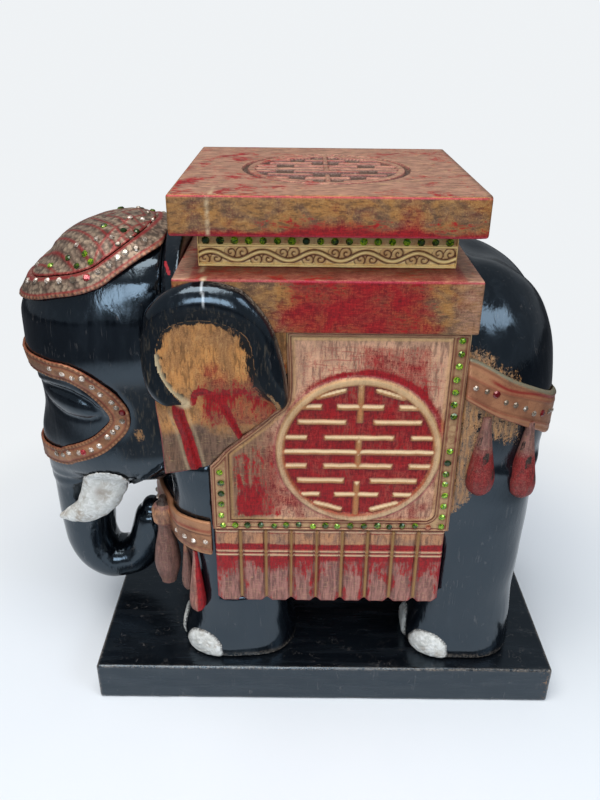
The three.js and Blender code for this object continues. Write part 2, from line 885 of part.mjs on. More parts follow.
function screwSkin(clearance) {
  const head = screw.headRadius + clearance;
  const shank = screw.radius + clearance;
  const low = clearance > 0 ? -overrun : screw.sink;
  const top = screw.sink + screw.length + clearance;
  const profile = [
    new THREE.Vector2(0, low),
    new THREE.Vector2(head, low),
    new THREE.Vector2(head, screw.sink + clearance),
    new THREE.Vector2(shank, screw.sink + screw.headHeight + clearance),
    new THREE.Vector2(shank, top - screw.radius),
    new THREE.Vector2(0, top),
  ];
  const geometry = new THREE.LatheGeometry(profile, sides.screw);
  geometry.rotateX(Math.PI / 2);
  return geometry;
}

const screwHoles = legPlaces.map((place) => {
  const hole = screwSkin(seam);
  hole.translate(place.x, place.side * leg.sideY, 0);
  return solidOf(hole);
});

const plinthSize = { ...plinth, length: plinthLength };
add('plinth', cutBy(board(plinthSize, plinthCentreX, 0), screwHoles), 'black');

const aboveJoint = layer(legJoint, farZ);
const belowJoint = layer(legFloor, legJoint - seam);
const bodyClear = [grown(bodySkin, seam), grown(chestSkin, seam)];
const nailPlaces = [
  { where: 'outer', turn: nail.turn, length: nail.length },
  { where: 'front', turn: 0, length: nail.frontLength },
  { where: 'inner', turn: -nail.turn, length: nail.length },
];

for (const [i, place] of legPlaces.entries()) {
  const solid = cutBy(solidOf(place.skin).intersect(belowJoint), [
    ...bodyClear,
    ...bothFlankCutters,
    screwHoles[i],
  ]);
  add(`leg_${place.name}`, solid, 'black');
}

for (const place of legPlaces) {
  const pin = screwSkin(0);
  pin.translate(place.x, place.side * leg.sideY, 0);
  add(`plinth_screw_${place.name}`, solidOf(pin), 'steel');
  for (const { where, turn, length } of nailPlaces) {
    const plan = Math.PI - place.side * turn;
    add(`toenail_${place.name}_${where}`, nailSolid(place, plan, length), 'white');
  }
}

// Body, head, trunk, tusks, ears and tail

const torso = cutBy(
  joined([
    solidOf(bodySkin),
    solidOf(chestSkin),
    ...legPlaces.map((place) => solidOf(place.skin).intersect(aboveJoint)),
  ]),
  [saddleCutter, ...bothFlankCutters, ...headDowelHoles],
);
add('torso', torso, 'black');

const eyes = [solidOf(eyeSkin), solidOf(mirrored(eyeSkin))];
const headSolid = cutBy(joined([solidOf(headSkin), ...eyes]), [
  behindNeck,
  grown(chestSkin, seam),
  ...headDowelHoles,
]);
add('head', headSolid, 'black');

add('trunk', cutBy(solidOf(trunkSkin), [grown(chestSkin, seam)]), 'black');

const cheek = grown(headSkin, seam);
addPair('tusk', cutBy(solidOf(tuskSkin), [cheek, grown(trunkSkin, seam)]), 'white');

const earInner = tier.width / 2 + seam;
const earRoot = block(
  ear.left + seam,
  ear.left + ear.rootLength,
  -earInner - seam,
  -earInner + ear.rootDepth,
  ear.rootFloor,
  ear.rootTop,
);
const earPlate = sidePlate(earOutline, earInner, ear.thickness);
const earHollow = sidePlate(hollowOutline, earInner + ear.thickness - ear.hollowDepth, ear.thickness);
const drapeDepth = drape.thickness + drape.foldThickness + seam;
const drapeCutter = flankCutter(drapeOutline, body.sidePlane, drapeDepth);
const besideTier = block(tierLeft - seam, tierRight + seam, -earInner, earInner, body.saddleFloor, farZ);
const earSolid = cutBy(joined([earPlate, earRoot]), [
  earHollow,
  cheek,
  grown(bodySkin, seam),
  besideTier,
  drapeCutter,
]);
addPair('ear', earSolid, 'black');

const tailShares = [
  [0.3, 0],
  [1.35, 0.16],
  [1.75, 0.34],
  [1.1, 0.56],
  [-0.6, 0.78],
  [-1.3, 0.92],
  [-1.2, 1],
];
const tailThickShares = [0.8, 1, 0.9, 0.85, 0.95, 1.25, 0.4];
const tailRings = tailShares.map(([out, down], i) => {
  return superellipse(sides.tail, roundPower).map(([along, across]) => [
    rumpX + out * tail.radius + along * tail.radius * tailThickShares[i],
    across * tail.radius * tailThickShares[i],
    tail.topZ - down * tail.drop,
  ]);
});

// Harness: bands that follow the skin under them

const crupperShares = [
  [0.62, 0.72],
  [0.727, 0.685],
  [0.82, 0.629],
  [0.883, 0.595],
  [0.93, 0.566],
  [0.965, 0.542],
  [1.003, 0.51],
  [1.1, 0.45],
];
const crupperPoints = pointsFromShares(crupperShares, neckX, body.length, body.floor, body.height);
const crupperLine = smoothLine(crupperPoints, sides.band);
const crupperRegion = sidePlate(ribbon(crupperLine, crupper.width), -farY, 2 * farY);
const behindCloth = block(clothRight + crupper.fromCloth, farX, -farY, farY, 0, farZ);
const closeFlanks = flanks(seam);
const crupperBand = flanks(crupper.thickness)
  .intersect(crupperRegion)
  .intersect(behindCloth)
  .subtract(closeFlanks);
add('crupper_band', crupperBand, 'bronze');

const crupperClear = flanks(crupper.thickness + seam).intersect(
  sidePlate(ribbon(crupperLine, crupper.width + 2 * seam), -farY, 2 * farY),
);
add('tail', cutBy(solidOf(loft(tailRings)), [closeFlanks, crupperClear]), 'black');


function breastRegion(clearance) {
  const low = breastBand.floor - clearance;
  const high = breastBand.floor + breastBand.height + clearance;
  return block(-farX, breastBand.back + clearance, -farY, farY, low, high);
}

const breastSolid = flanks(breastBand.thickness).intersect(breastRegion(0));
const breastClear = flanks(breastBand.thickness + seam).intersect(breastRegion(seam));
const breastCut = cutBy(breastSolid, [
  closeFlanks,
  grown(headSkin, seam),
  grown(trunkSkin, seam),
  ...bothFlankCutters,
]);
add('breast_band', breastCut, 'bronze');

const capBorderShares = [
  [1.2, 0.735],
  [1, 0.745],
  [0.785, 0.769],
  [0.65, 0.789],
  [0.478, 0.81],
  [0.346, 0.836],
  [0.258, 0.868],
  [0.14, 0.91],
  [0.066, 0.931],
  [-0.1, 0.97],
];

function onHead(shares) {
  return pointsFromShares(shares, neckX, -head.length, head.floor, head.height);
}

const capBorder = smoothLine(onHead(capBorderShares), sides.band);
const capBandRegion = sidePlate(
  [...capBorder, ...offsetLine(capBorder, capBand.width).reverse()],
  -farY,
  2 * farY,
);
const capLine = offsetLine(capBorder, capBand.width + seam);
const capRegion = sidePlate(
  [...capLine, [capLine.at(-1)[0], farZ], [capLine[0][0], farZ]],
  -farY,
  2 * farY,
);
const capSolid = cutBy(grown(headSkin, cap.thickness).intersect(capRegion), [cheek, behindNeck]);
add('head_cap', capSolid, 'bronze');
const capBandSolid = cutBy(grown(headSkin, capBand.thickness).intersect(capBandRegion), [
  cheek,
  behindNeck,
]);
add('cap_band', capBandSolid, 'bronze');

const strapShares = [
  [1.2, 0.555],
  [0.9, 0.553],
  [0.8, 0.547],
  [0.72, 0.534],
  [0.603, 0.522],
  [0.504, 0.489],
  [0.412, 0.44],
  [0.352, 0.393],
  [0.326, 0.355],
  [0.338, 0.31],
  [0.412, 0.261],
  [0.52, 0.212],
  [0.696, 0.163],
  [0.808, 0.132],
  [1.2, 0.11],
];
const strapLine = smoothLine(onHead(strapShares), sides.strap);
const strapRegion = sidePlate(ribbon(strapLine, strap.width).reverse(), -farY, 2 * farY);
const strapSolid = cutBy(grown(headSkin, strap.thickness).intersect(strapRegion), [
  cheek,
  grown(eyeSkin, seam),
  grown(mirrored(eyeSkin), seam),
]);
add('face_strap', strapSolid, 'bronze');

// Cloths, fringes, drapes and gem borders

const sideRelief = geometryOf(roundelRelief(sideRoundel.radius, sideRoundel.relief));
sideRelief.rotateX(Math.PI / 2);
const fieldOuter = clothInner + cloth.baseThickness + cloth.fieldThickness;
sideRelief.translate(clothRight - sideRoundel.fromRight, -fieldOuter + seam, sideRoundel.centreZ);

function fieldSolid(inner, thickness, clearance) {
  const trimmed = offsetLine(clothOutline, cloth.fieldMargin - clearance, true);
  const frame = block(
    fieldLeft - clearance,
    fieldRight + clearance,
    -farY,
    0,
    fieldFloor - clearance,
    clothTop,
  );
  return sidePlate(trimmed, inner, thickness).intersect(frame);
}

const raise = seam / 10; // how deep a raised part is sunk into the part that it grows from
const clothFace = clothInner + cloth.baseThickness;
const clothSolid = joined([
  sidePlate(clothOutline, clothInner, cloth.baseThickness),
  fieldSolid(clothFace - raise, cloth.fieldThickness + raise, 0),
  solidOf(sideRelief).intersect(fieldSolid(clothInner, sideRoundel.relief + fieldOuter, 0)),
]);
addPair('saddle_cloth', clothSolid, 'redGold');

const stripInner = clothFace + seam;
const stripPlate = cutBy(
  sidePlate(offsetLine(clothOutline, gemStrip.inset, true), stripInner, gemStrip.thickness),
  [fieldSolid(stripInner - overrun, gemStrip.thickness + 2 * overrun, seam)],
);
const rowZ = (cloth.floor + gemStrip.inset + fieldFloor - seam) / 2;
const rightColumnX = (clothRight - gemStrip.inset + fieldRight + seam) / 2;
const leftColumnX = (cloth.left + gemStrip.inset + fieldLeft - seam) / 2;

function spread(from, to, pitch) {
  const count = Math.max(1, Math.round((to - from) / pitch));
  return Array.from({ length: count + 1 }, (_, i) => from + ((to - from) * i) / count);
}

const columnFoot = rowZ + gemStrip.gemPitch;
const curveFoot = clothCurve.at(-1)[1] - 2 * gemStrip.gemRadius;
const gemPlaces = [
  ...spread(leftColumnX, rightColumnX, gemStrip.gemPitch).map((x) => [x, rowZ]),
  ...spread(columnFoot, clothTop - gemStrip.gemPitch, gemStrip.gemPitch).map((z) => [rightColumnX, z]),
  ...spread(columnFoot, curveFoot, gemStrip.gemPitch).map((z) => [leftColumnX, z]),
];
const gemFoot = stripInner + gemStrip.thickness / 2;
const gems = gemPlaces.map(([x, z]) => {
  const gem = new THREE.ConeGeometry(gemStrip.gemRadius, gemStrip.gemHeight, sides.gem);
  gem.rotateX(Math.PI);
  gem.translate(x, -gemFoot - gemStrip.gemHeight / 2, z);
  return solidOf(gem);
});
addPair('gem_border', joined([stripPlate, ...gems]), 'green');

const ribs = [];
for (let flap = 1; flap < fringe.flaps; flap += 1) {
  const left = fringeLeft + flap * flapWidth - fringe.rib / 2;
  const outer = clothInner + fringe.thickness;
  const foot = fringeFloor + fringe.ribFoot;
  ribs.push(block(left, left + fringe.rib, -outer - fringe.ribHeight, -outer + seam, foot, fringeTop));
}
const fringePlate = sidePlate(fringeOutline(), clothInner, fringe.thickness);
addPair('cloth_fringe', joined([fringePlate, ...ribs]), 'crimson');

const drapeSolid = joined([
  sidePlate(drapeOutline, clothInner, drape.thickness),
  sidePlate(foldOutline, clothInner + drape.thickness - raise, drape.foldThickness),
]);
addPair('neck_drape', drapeSolid, 'redGold');

// Tassels hang in front of the legs and against the haunches

function heightOnLine(line, x) {
  const after = line.findIndex((point) => point[0] > x);
  const [fromX, fromZ] = line[after - 1];
  const [toX, toZ] = line[after];
  return fromZ + ((x - fromX) / (toX - fromX)) * (toZ - fromZ);
}

function rearTasselSolid({ offset, tuck, drop }) {
  const x = rearLegX + offset;
  const y = -(leg.sideY + leg.width / 2 - tuck);
  const topZ = heightOnLine(crupperLine, x) - drop;
  return cutBy(tasselSkin(tasselShares, rearTassel, x, y, topZ), [closeFlanks, crupperClear]);
}

function breastTasselSolid(shares, size, topZ) {
  const skin = tasselSkin(shares, size, neckX + size.centreX, -size.sideY, topZ);
  return cutBy(skin, [closeFlanks, breastClear]);
}

addPair('rear_tassel_front', rearTasselSolid(rearTasselFront), 'crimson');
addPair('rear_tassel_back', rearTasselSolid(rearTasselBack), 'crimson');

const belowBand = breastBand.floor - seam;
const bandTop = breastBand.floor + breastBand.height;
addPair('breast_tassel_outer', breastTasselSolid(tasselShares, redTassel, belowBand), 'crimson');
addPair('breast_tassel_middle', breastTasselSolid(tasselShares, narrowTassel, belowBand), 'redGold');
addPair('breast_tassel_knot', breastTasselSolid(knotTasselShares, bigTassel, bandTop), 'redGold');

// Saddle box, frieze collar, table top and their dowels

const dowelXs = [tier.centreX - topDowel.offsetX, tier.centreX + topDowel.offsetX];
const dowelFrom = tierTop - topDowel.depthInTier;
const dowelTo = slabFloor + topDowel.depthInSlab;
const dowelHoles = dowelXs.map((x) => {
  const hole = rod(topDowel.radius + seam, dowelFrom - seam, dowelTo + seam, 'z');
  hole.translate(x, 0, 0);
  return solidOf(hole);
});

add('saddle_box', cutBy(board(tier, tier.centreX, tierFloor), dowelHoles), 'redGold');

const collarSolid = joined([
  block(
    tier.centreX - collar.length / 2,
    tier.centreX + collar.length / 2,
    -collar.width / 2,
    collar.width / 2,
    collarFloor,
    collarTop,
  ),
  block(
    tier.centreX - collar.length / 2 - collar.lip,
    tier.centreX + collar.length / 2 + collar.lip,
    -collar.width / 2 - collar.lip,
    collar.width / 2 + collar.lip,
    collarFloor,
    collarFloor + collar.lipHeight,
  ),
]);
add('frieze_collar', cutBy(collarSolid, dowelHoles), 'gold');

const recess = geometryOf(discPrism(topRoundel.radius, topRoundel.recess + overrun));
recess.translate(tier.centreX, 0, slabTop - topRoundel.recess);
const topRelief = geometryOf(roundelRelief(topRoundel.radius, topRoundel.recess + seam));
topRelief.translate(tier.centreX, 0, slabTop - topRoundel.recess - seam);
const slabSolid = board(slab, tier.centreX, slabFloor).subtract(solidOf(recess)).add(solidOf(topRelief));
add('table_top', cutBy(slabSolid, dowelHoles), 'redGold');

for (const [i, x] of dowelXs.entries()) {
  const pin = rod(topDowel.radius, dowelFrom, dowelTo, 'z');
  pin.translate(x, 0, 0);
  add(`top_dowel_${i + 1}`, solidOf(pin), 'wood');
}
for (const [i, z] of [headDowel.lowZ, headDowel.highZ].entries()) {
  const pin = rod(
    headDowel.radius,
    neckX - headDowel.depthInHead,
    neckX + headDowel.depthInBody,
    'x',
  );
  pin.translate(0, 0, z);
  add(`head_dowel_${i + 1}`, solidOf(pin), 'wood');
}

table.position.x = -plinthCentreX;

export default table;
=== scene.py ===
"""Carved and lacquered elephant table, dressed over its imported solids. Lengths are millimetres
in the part's frame until a mesh is made. The elephant faces -X and its left side is -Y."""

import math
from collections import Counter

import bpy
import numpy as np
from mathutils import Matrix, Vector
from mathutils.bvhtree import BVHTree


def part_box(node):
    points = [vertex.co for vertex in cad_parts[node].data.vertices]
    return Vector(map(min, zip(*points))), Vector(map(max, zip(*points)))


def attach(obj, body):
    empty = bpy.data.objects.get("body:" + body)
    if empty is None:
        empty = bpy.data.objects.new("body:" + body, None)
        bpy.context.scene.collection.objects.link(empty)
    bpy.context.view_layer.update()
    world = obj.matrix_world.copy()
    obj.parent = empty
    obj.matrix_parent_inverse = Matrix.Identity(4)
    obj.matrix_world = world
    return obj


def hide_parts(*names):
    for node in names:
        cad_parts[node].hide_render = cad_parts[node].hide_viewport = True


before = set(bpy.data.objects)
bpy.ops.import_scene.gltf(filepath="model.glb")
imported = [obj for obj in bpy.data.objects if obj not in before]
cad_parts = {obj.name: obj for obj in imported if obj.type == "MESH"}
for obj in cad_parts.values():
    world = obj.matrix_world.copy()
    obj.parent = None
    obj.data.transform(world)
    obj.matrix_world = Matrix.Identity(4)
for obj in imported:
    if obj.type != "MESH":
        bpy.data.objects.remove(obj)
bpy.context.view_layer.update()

# Main dimensions, the same as in the part's source

MM = 0.001
SEAM = 0.3
CLEARANCE = 0.6
CHEST_CLEARANCE = 3.2
CHEST_BLEND = 22
LEG_BLEND = 16
TRUNK_BLEND = 16
NECK = -128.0
RUMP = 183.0
BODY = dict(length=311, width=194, floor=122, height=286, saddle=354, side=92, dip=9)
CHEST = dict(centre=(-98, 0, 165), radii=(50, 80, 62))
LEG = dict(length=101, width=82, height=190, floor=38.3, joint=150, side=56)
LEG_XS = {"front": -76.5, "rear": 126.0}
HEAD = dict(length=125, width=148, floor=188, height=224, back=38)
EYE = dict(centre=(-211.75, 273.1), half_length=23, half_height=7.5, tilt=0.25)
TRUNK = dict(root=-244.5, top=187.7, reach=76, drop=132, thick=54, wide=66)
TUSK = dict(root=-191, top=208, reach=46, drop=54, thick=40, wide=23, side=43)
EAR = dict(left=-138, length=105, floor=284, height=109, thick=14, inner=103.05)
TIER = dict(length=214.5, width=205.5, floor=354.3, height=39.2)
COLLAR = dict(length=184, width=149, floor=393.8, height=28.2)
SLAB = dict(length=214.5, width=205.5, floor=422.3, height=27.7)
TABLE_X = -5.8
PLINTH = dict(width=218)
CLOTH = dict(left=-94, right=98, floor=180.3, top=353.7, inner=92.3, face=97.3, field=1.4)
FIELD = dict(left=-79, right=85, floor=191, margin=3.5)
FRINGE = dict(left=-92.5, right=95, floor=105, top=180, thick=5, flaps=9, notch=4.5)
DRAPE = dict(left=-131, top=330, floor=243, thick=5.4)
ROUNDEL = dict(radius=63.5, centre=(21, 255.5), relief=2.1, recess=2.4, ring=6.5, bar=4.4)
CAP = dict(thick=2.8, band_thick=4.2, band=13.5)
STRAP = dict(thick=3.8, width=17)
CRUPPER = dict(thick=3.8, width=30)
BREAST = dict(thick=4, floor=153, height=34, back=-95.5)
NAIL = dict(length=35, front=28, height=23, thick=2.6, turn=0.86)
TAIL = dict(radius=4.4, top=286, drop=148)

# Torso: [along, half width, low, high, power, dip], shares of the body

body_shares = [
    [0, 0.86, 0.1, 1, 2.5, 0], [0.03, 0.95, 0.06, 1, 2.6, 0], [0.088, 0.98, 0.03, 1.042, 2.8, 0],
    [0.22, 1, 0.01, 1.042, 3, 0], [0.41, 1, 0, 1.042, 3, 0], [0.6, 1, 0.01, 1.042, 3, 0],
    [0.72, 1, 0.045, 0.99, 2.9, 0.2], [0.742, 1, 0.05, 0.955, 2.7, 0.6],
    [0.81, 0.98, 0.08, 0.945, 2.5, 1], [0.882, 0.9, 0.13, 0.91, 2.4, 1],
    [0.938, 0.77, 0.2, 0.855, 2.3, 1], [0.974, 0.6, 0.28, 0.785, 2.2, 0.8],
    [0.995, 0.36, 0.36, 0.69, 2.1, 0.4], [1, 0.12, 0.44, 0.6, 2, 0],
]
spine_share = 0.3

# Legs: [up, front, back, half width, power], shares of the leg

leg_shares = {
    "front": [
        [0, 0.5, 0.5, 1, 2.7], [0.06, 0.51, 0.5, 1.02, 2.7], [0.18, 0.46, 0.47, 0.96, 2.6],
        [0.36, 0.43, 0.45, 0.93, 2.5], [0.6, 0.43, 0.45, 0.95, 2.5],
        [0.85, 0.44, 0.48, 0.95, 2.5], [1, 0.42, 0.48, 0.88, 2.4],
    ],
    "rear": [
        [0, 0.5, 0.44, 1, 2.7], [0.06, 0.51, 0.45, 1.02, 2.7], [0.18, 0.46, 0.43, 0.96, 2.6],
        [0.36, 0.43, 0.42, 0.93, 2.5], [0.6, 0.43, 0.42, 0.94, 2.5],
        [0.85, 0.44, 0.43, 0.9, 2.4], [1, 0.42, 0.41, 0.78, 2.3],
    ],
}

# Head: [up, front, half width, power], shares of the head

head_shares = [
    [0, 0.926, 0.5, 2.3], [0.03, 0.94, 0.64, 2.3], [0.075, 0.942, 0.77, 2.4],
    [0.165, 0.942, 0.83, 2.4], [0.26, 0.942, 0.84, 2.4], [0.345, 0.934, 0.85, 2.4],
    [0.44, 0.942, 0.89, 2.4], [0.5, 0.967, 0.95, 2.4], [0.59, 0.992, 0.99, 2.4],
    [0.69, 0.985, 0.985, 2.4], [0.775, 0.925, 0.94, 2.3], [0.84, 0.835, 0.88, 2.3],
    [0.875, 0.755, 0.82, 2.2], [0.915, 0.7, 0.74, 2.2], [0.955, 0.59, 0.6, 2.1],
    [0.98, 0.47, 0.43, 2], [1, 0.3, 0.2, 2],
]
crown_share = 0.9
crown_closing_share = 1.7

# Trunk and tusks: [along, down, half thickness, half width], shares of the horn

trunk_shares = [
    [0.285, -0.3, 1, 1], [0.285, 0, 1, 1], [0.275, 0.17, 0.98, 0.95], [0.255, 0.38, 0.92, 0.88],
    [0.25, 0.58, 0.85, 0.82], [0.33, 0.755, 0.79, 0.76], [0.53, 0.845, 0.72, 0.7],
    [0.76, 0.825, 0.68, 0.65], [0.92, 0.73, 0.66, 0.6], [0.99, 0.6, 0.62, 0.56],
    [1.03, 0.455, 0.53, 0.49], [1.045, 0.395, 0.34, 0.32],
]
tusk_shares = [
    [0, 0, 1, 0.86], [-0.05, 0.33, 0.98, 1], [-0.22, 0.65, 0.86, 1], [-0.48, 0.87, 0.6, 0.86],
    [-0.76, 0.97, 0.36, 0.64], [-0.97, 1, 0.14, 0.34],
]

# Outlines and lines on the flank and on the head, shares of the piece they belong to

cloth_curve_shares = [
    [0.31, 1], [0.312, 0.7], [0.25, 0.612], [0.17, 0.53], [0.075, 0.44], [0.03, 0.38],
    [0, 0.345],
]
drape_shares = [
    [1, 1], [0, 1], [0, 0.69], [0.015, -0.12], [0.12, -0.1], [0.235, -0.07], [0.33, -0.05],
    [0.4, -0.02],
]
ear_shares = [
    [0.257, 0.12], [0.143, 0.13], [0.05, 0.2], [0.01, 0.31], [0, 0.47], [0.02, 0.65],
    [0.105, 0.85], [0.27, 0.965], [0.455, 1], [0.6, 0.98], [0.73, 0.92], [0.88, 0.73],
    [0.965, 0.485], [1, 0.26], [0.985, 0.12], [0.865, 0.06], [0.72, 0.01], [0.55, 0],
    [0.39, 0.045],
]
hollow_shares = [
    [0.252, -0.06], [0.262, 0.15], [0.18, 0.29], [0.12, 0.42], [0.115, 0.54], [0.165, 0.67],
    [0.25, 0.735], [0.384, 0.765], [0.505, 0.757], [0.63, 0.72], [0.725, 0.655], [0.76, 0.56],
    [0.79, 0.38], [0.86, 0.24], [0.92, 0.13], [0.9, -0.06],
]
crupper_shares = [
    [0.62, 0.72], [0.727, 0.685], [0.82, 0.629], [0.883, 0.595], [0.93, 0.566], [0.965, 0.542],
    [1.003, 0.51], [1.1, 0.45],
]
cap_border_shares = [
    [1.2, 0.735], [1, 0.745], [0.785, 0.769], [0.65, 0.789], [0.478, 0.81], [0.346, 0.836],
    [0.258, 0.868], [0.14, 0.91], [0.066, 0.931], [-0.1, 0.97],
]
strap_shares = [
    [1.2, 0.555], [0.9, 0.553], [0.8, 0.547], [0.72, 0.534], [0.603, 0.522], [0.504, 0.489],
    [0.412, 0.44], [0.352, 0.393], [0.326, 0.355], [0.338, 0.31], [0.412, 0.261], [0.52, 0.212],
    [0.696, 0.163], [0.808, 0.132], [1.2, 0.11],
]

# The fret that fills each roundel, the same above and below its middle

fret_shares = [
    (0, [(0, 0.95)]),
    (0.2, [(0, 0.42), (0.62, 0.93)]),
    (0.41, [(0.16, 0.74)]),
    (0.61, [(0, 0.28), (0.45, 0.76)]),
]
spine_bar_shares = [(0, 0.2), (0.41, 0.93)]
slant_shares = [(0.2, 0.83), (0.5, 0.74)]

# Tassels and tail: [out, up] of a turned piece, and the tail's line

tassel_shares = [
    [0.28, 1], [0.3, 0.97], [0.36, 0.88], [0.55, 0.68], [0.82, 0.42], [1, 0.2], [0.88, 0.07],
    [0.5, 0],
]
knot_tassel_shares = [
    [0.25, 1], [0.3, 0.945], [0.68, 0.91], [0.9, 0.84], [0.86, 0.75], [0.52, 0.675], [0.58, 0.6],
    [0.9, 0.38], [1, 0.22], [0.6, 0.01],
]
tail_shares = [
    [0.3, 0], [1.35, 0.16], [1.75, 0.34], [1.1, 0.56], [-0.6, 0.78], [-1.3, 0.92], [-1.2, 1],
]
tail_thick_shares = [0.8, 1, 0.9, 0.85, 0.95, 1.25, 0.4]


# Curves, distances and blends


def eased(xs, ys, at):
    """A curve through the values that has no bumps between them."""
    xs, ys = np.asarray(xs, float), np.asarray(ys, float)
    step = np.diff(xs)
    slope = np.diff(ys) / step
    tangent = np.zeros_like(ys)
    tangent[0], tangent[-1] = slope[0], slope[-1]
    near, far = slope[:-1], slope[1:]
    same = near * far > 0
    w1, w2 = 2 * step[1:] + step[:-1], step[1:] + 2 * step[:-1]
    safe_near, safe_far = np.where(same, near, 1), np.where(same, far, 1)
    tangent[1:-1] = np.where(same, (w1 + w2) / (w1 / safe_near + w2 / safe_far), 0)
    at = np.clip(at, xs[0], xs[-1])
    k = np.clip(np.searchsorted(xs, at, side="right") - 1, 0, len(xs) - 2)
    t = (at - xs[k]) / step[k]
    start = ys[k] * (2 * t**3 - 3 * t**2 + 1) + step[k] * tangent[k] * (t**3 - 2 * t**2 + t)
    end = ys[k + 1] * (3 * t**2 - 2 * t**3) + step[k] * tangent[k + 1] * (t**3 - t**2)
    return start + end


def stations(shares, at):
    table = np.array(shares, float)
    return [eased(table[:, 0], table[:, i], at) for i in range(1, table.shape[1])]


def smooth(value, low, high):
    t = np.clip((value - low) / (high - low), 0, 1)
    return t * t * (3 - 2 * t)


def bell(value, middle, width):
    return np.exp(-(((value - middle) / width) ** 2))


def domed(inward, reach):
    """From 0 at an edge to 1 at the given reach inside it, round like a quarter circle."""
    return np.sqrt(1 - (1 - np.clip(inward / reach, 0, 1)) ** 2)


def joined(a, b, blend):
    """Either of two solids, with the crease between them filled over the blend."""
    t = np.clip(0.5 + 0.5 * (b - a) / blend, 0, 1)
    return b * (1 - t) + a * t - blend * t * (1 - t)


def cut(a, b):
    """a without b."""
    return np.maximum(a, -b)


def rounded(a, b, radius):
    """The overlap of two solids, with the edge between them rounded."""
    outside = np.hypot(np.maximum(a + radius, 0), np.maximum(b + radius, 0))
    return outside + np.minimum(np.maximum(a, b) + radius, 0) - radius


def box(u, low, high):
    return np.maximum(low - u, u - high)


def placed(shares, left, length, floor, height):
    return [(left + u * length, floor + v * height) for u, v in shares]


def curve(points, count, closed=False):
    """A smooth line through the points."""
    points = np.array(points, float)
    if closed:
        padded = np.vstack([points[-1:], points, points[:2]])
    else:
        ends = 2 * points[[0, -1]] - points[[1, -2]]
        padded = np.vstack([ends[:1], points, ends[1:]])
    runs = len(padded) - 3
    made = []
    for k in range(runs):
        p0, p1, p2, p3 = padded[k : k + 4]
        for t in np.linspace(0, 1, count, endpoint=False):
            bend = (2 * p0 - 5 * p1 + 4 * p2 - p3) * t + (3 * p1 - p0 - 3 * p2 + p3) * t * t
            made.append(p1 + 0.5 * t * (p2 - p0 + bend))
    if not closed:
        made.append(points[-1])
    return np.array(made)


def line_distance(points, u, v):
    """Distance to a line, and how far along it its nearest place is."""
    shape = np.broadcast(u, v).shape
    best, run = np.full(shape, 1e9), np.zeros(shape)
    start = 0.0
    for (au, av), (bu, bv) in zip(points[:-1], points[1:]):
        du, dv = bu - au, bv - av
        length = math.hypot(du, dv)
        if length == 0:
            continue
        t = np.clip(((u - au) * du + (v - av) * dv) / length**2, 0, 1)
        away = np.hypot(u - au - t * du, v - av - t * dv)
        nearer = away < best
        best = np.where(nearer, away, best)
        run = np.where(nearer, start + t * length, run)
        start += length
    return best, run


def outline_distance(points, u, v):
    """Distance to a closed outline, negative inside it."""
    ring = [tuple(p) for p in points] + [tuple(points[0])]
    away, _ = line_distance(ring, u, v)
    inside = np.zeros(away.shape, bool)
    for (au, av), (bu, bv) in zip(ring[:-1], ring[1:]):
        if av == bv:
            continue
        crosses = (av > v) != (bv > v)
        inside ^= crosses & (u < au + (v - av) * (bu - au) / (bv - av))
    return np.where(inside, -away, away)


def wobble(x, y, z, wavelength, seed, waves=14):
    """A soft unevenness between about -1 and 1, like that of a hand-carved surface."""
    rng = np.random.default_rng(seed)
    total = 0
    for _ in range(waves):
        direction = rng.normal(size=3)
        direction *= rng.uniform(0.7, 1.5) * 2 * math.pi / wavelength / np.linalg.norm(direction)
        phase = rng.uniform(0, 2 * math.pi)
        total = total + np.sin(direction[0] * x + direction[1] * y + direction[2] * z + phase)
    return total / math.sqrt(waves)


# Skins: a solid given by its distance on a grid is turned into a mesh of quads


class Grid:
    """A block of space from low to high. Halved, it is the left half of a mirrored piece."""

    def __init__(self, low, high, step, halved=True):
        low = list(low)
        high = list(high)
        if halved:
            low[1] = -step * math.ceil(-low[1] / step)
            high[1] = 0
        counts = [int(round((b - a) / step)) + 1 for a, b in zip(low, high)]
        x, y, z = [a + step * np.arange(n) for a, n in zip(low, counts)]
        self.low, self.step, self.halved = np.array(low, float), step, halved
        self.x, self.y, self.z = x[:, None, None], y[None, :, None], z[None, None, :]

    def spaced(self, values):
        """Values changed so that they are distances in millimetres near the surface."""
        values = np.broadcast_to(values, (self.x.size, self.y.size, self.z.size))
        slope = np.sqrt(sum(g * g for g in np.gradient(values, self.step)))
        return values / np.maximum(slope, 1e-3)


def softened(values, passes):
    for _ in range(passes):
        for axis in range(3):
            width = [(1, 1) if i == axis else (0, 0) for i in range(3)]
            v = np.moveaxis(np.pad(values, width, mode="reflect"), axis, 0)
            values = np.moveaxis(0.25 * v[:-2] + 0.5 * v[1:-1] + 0.25 * v[2:], 0, axis)
    return values


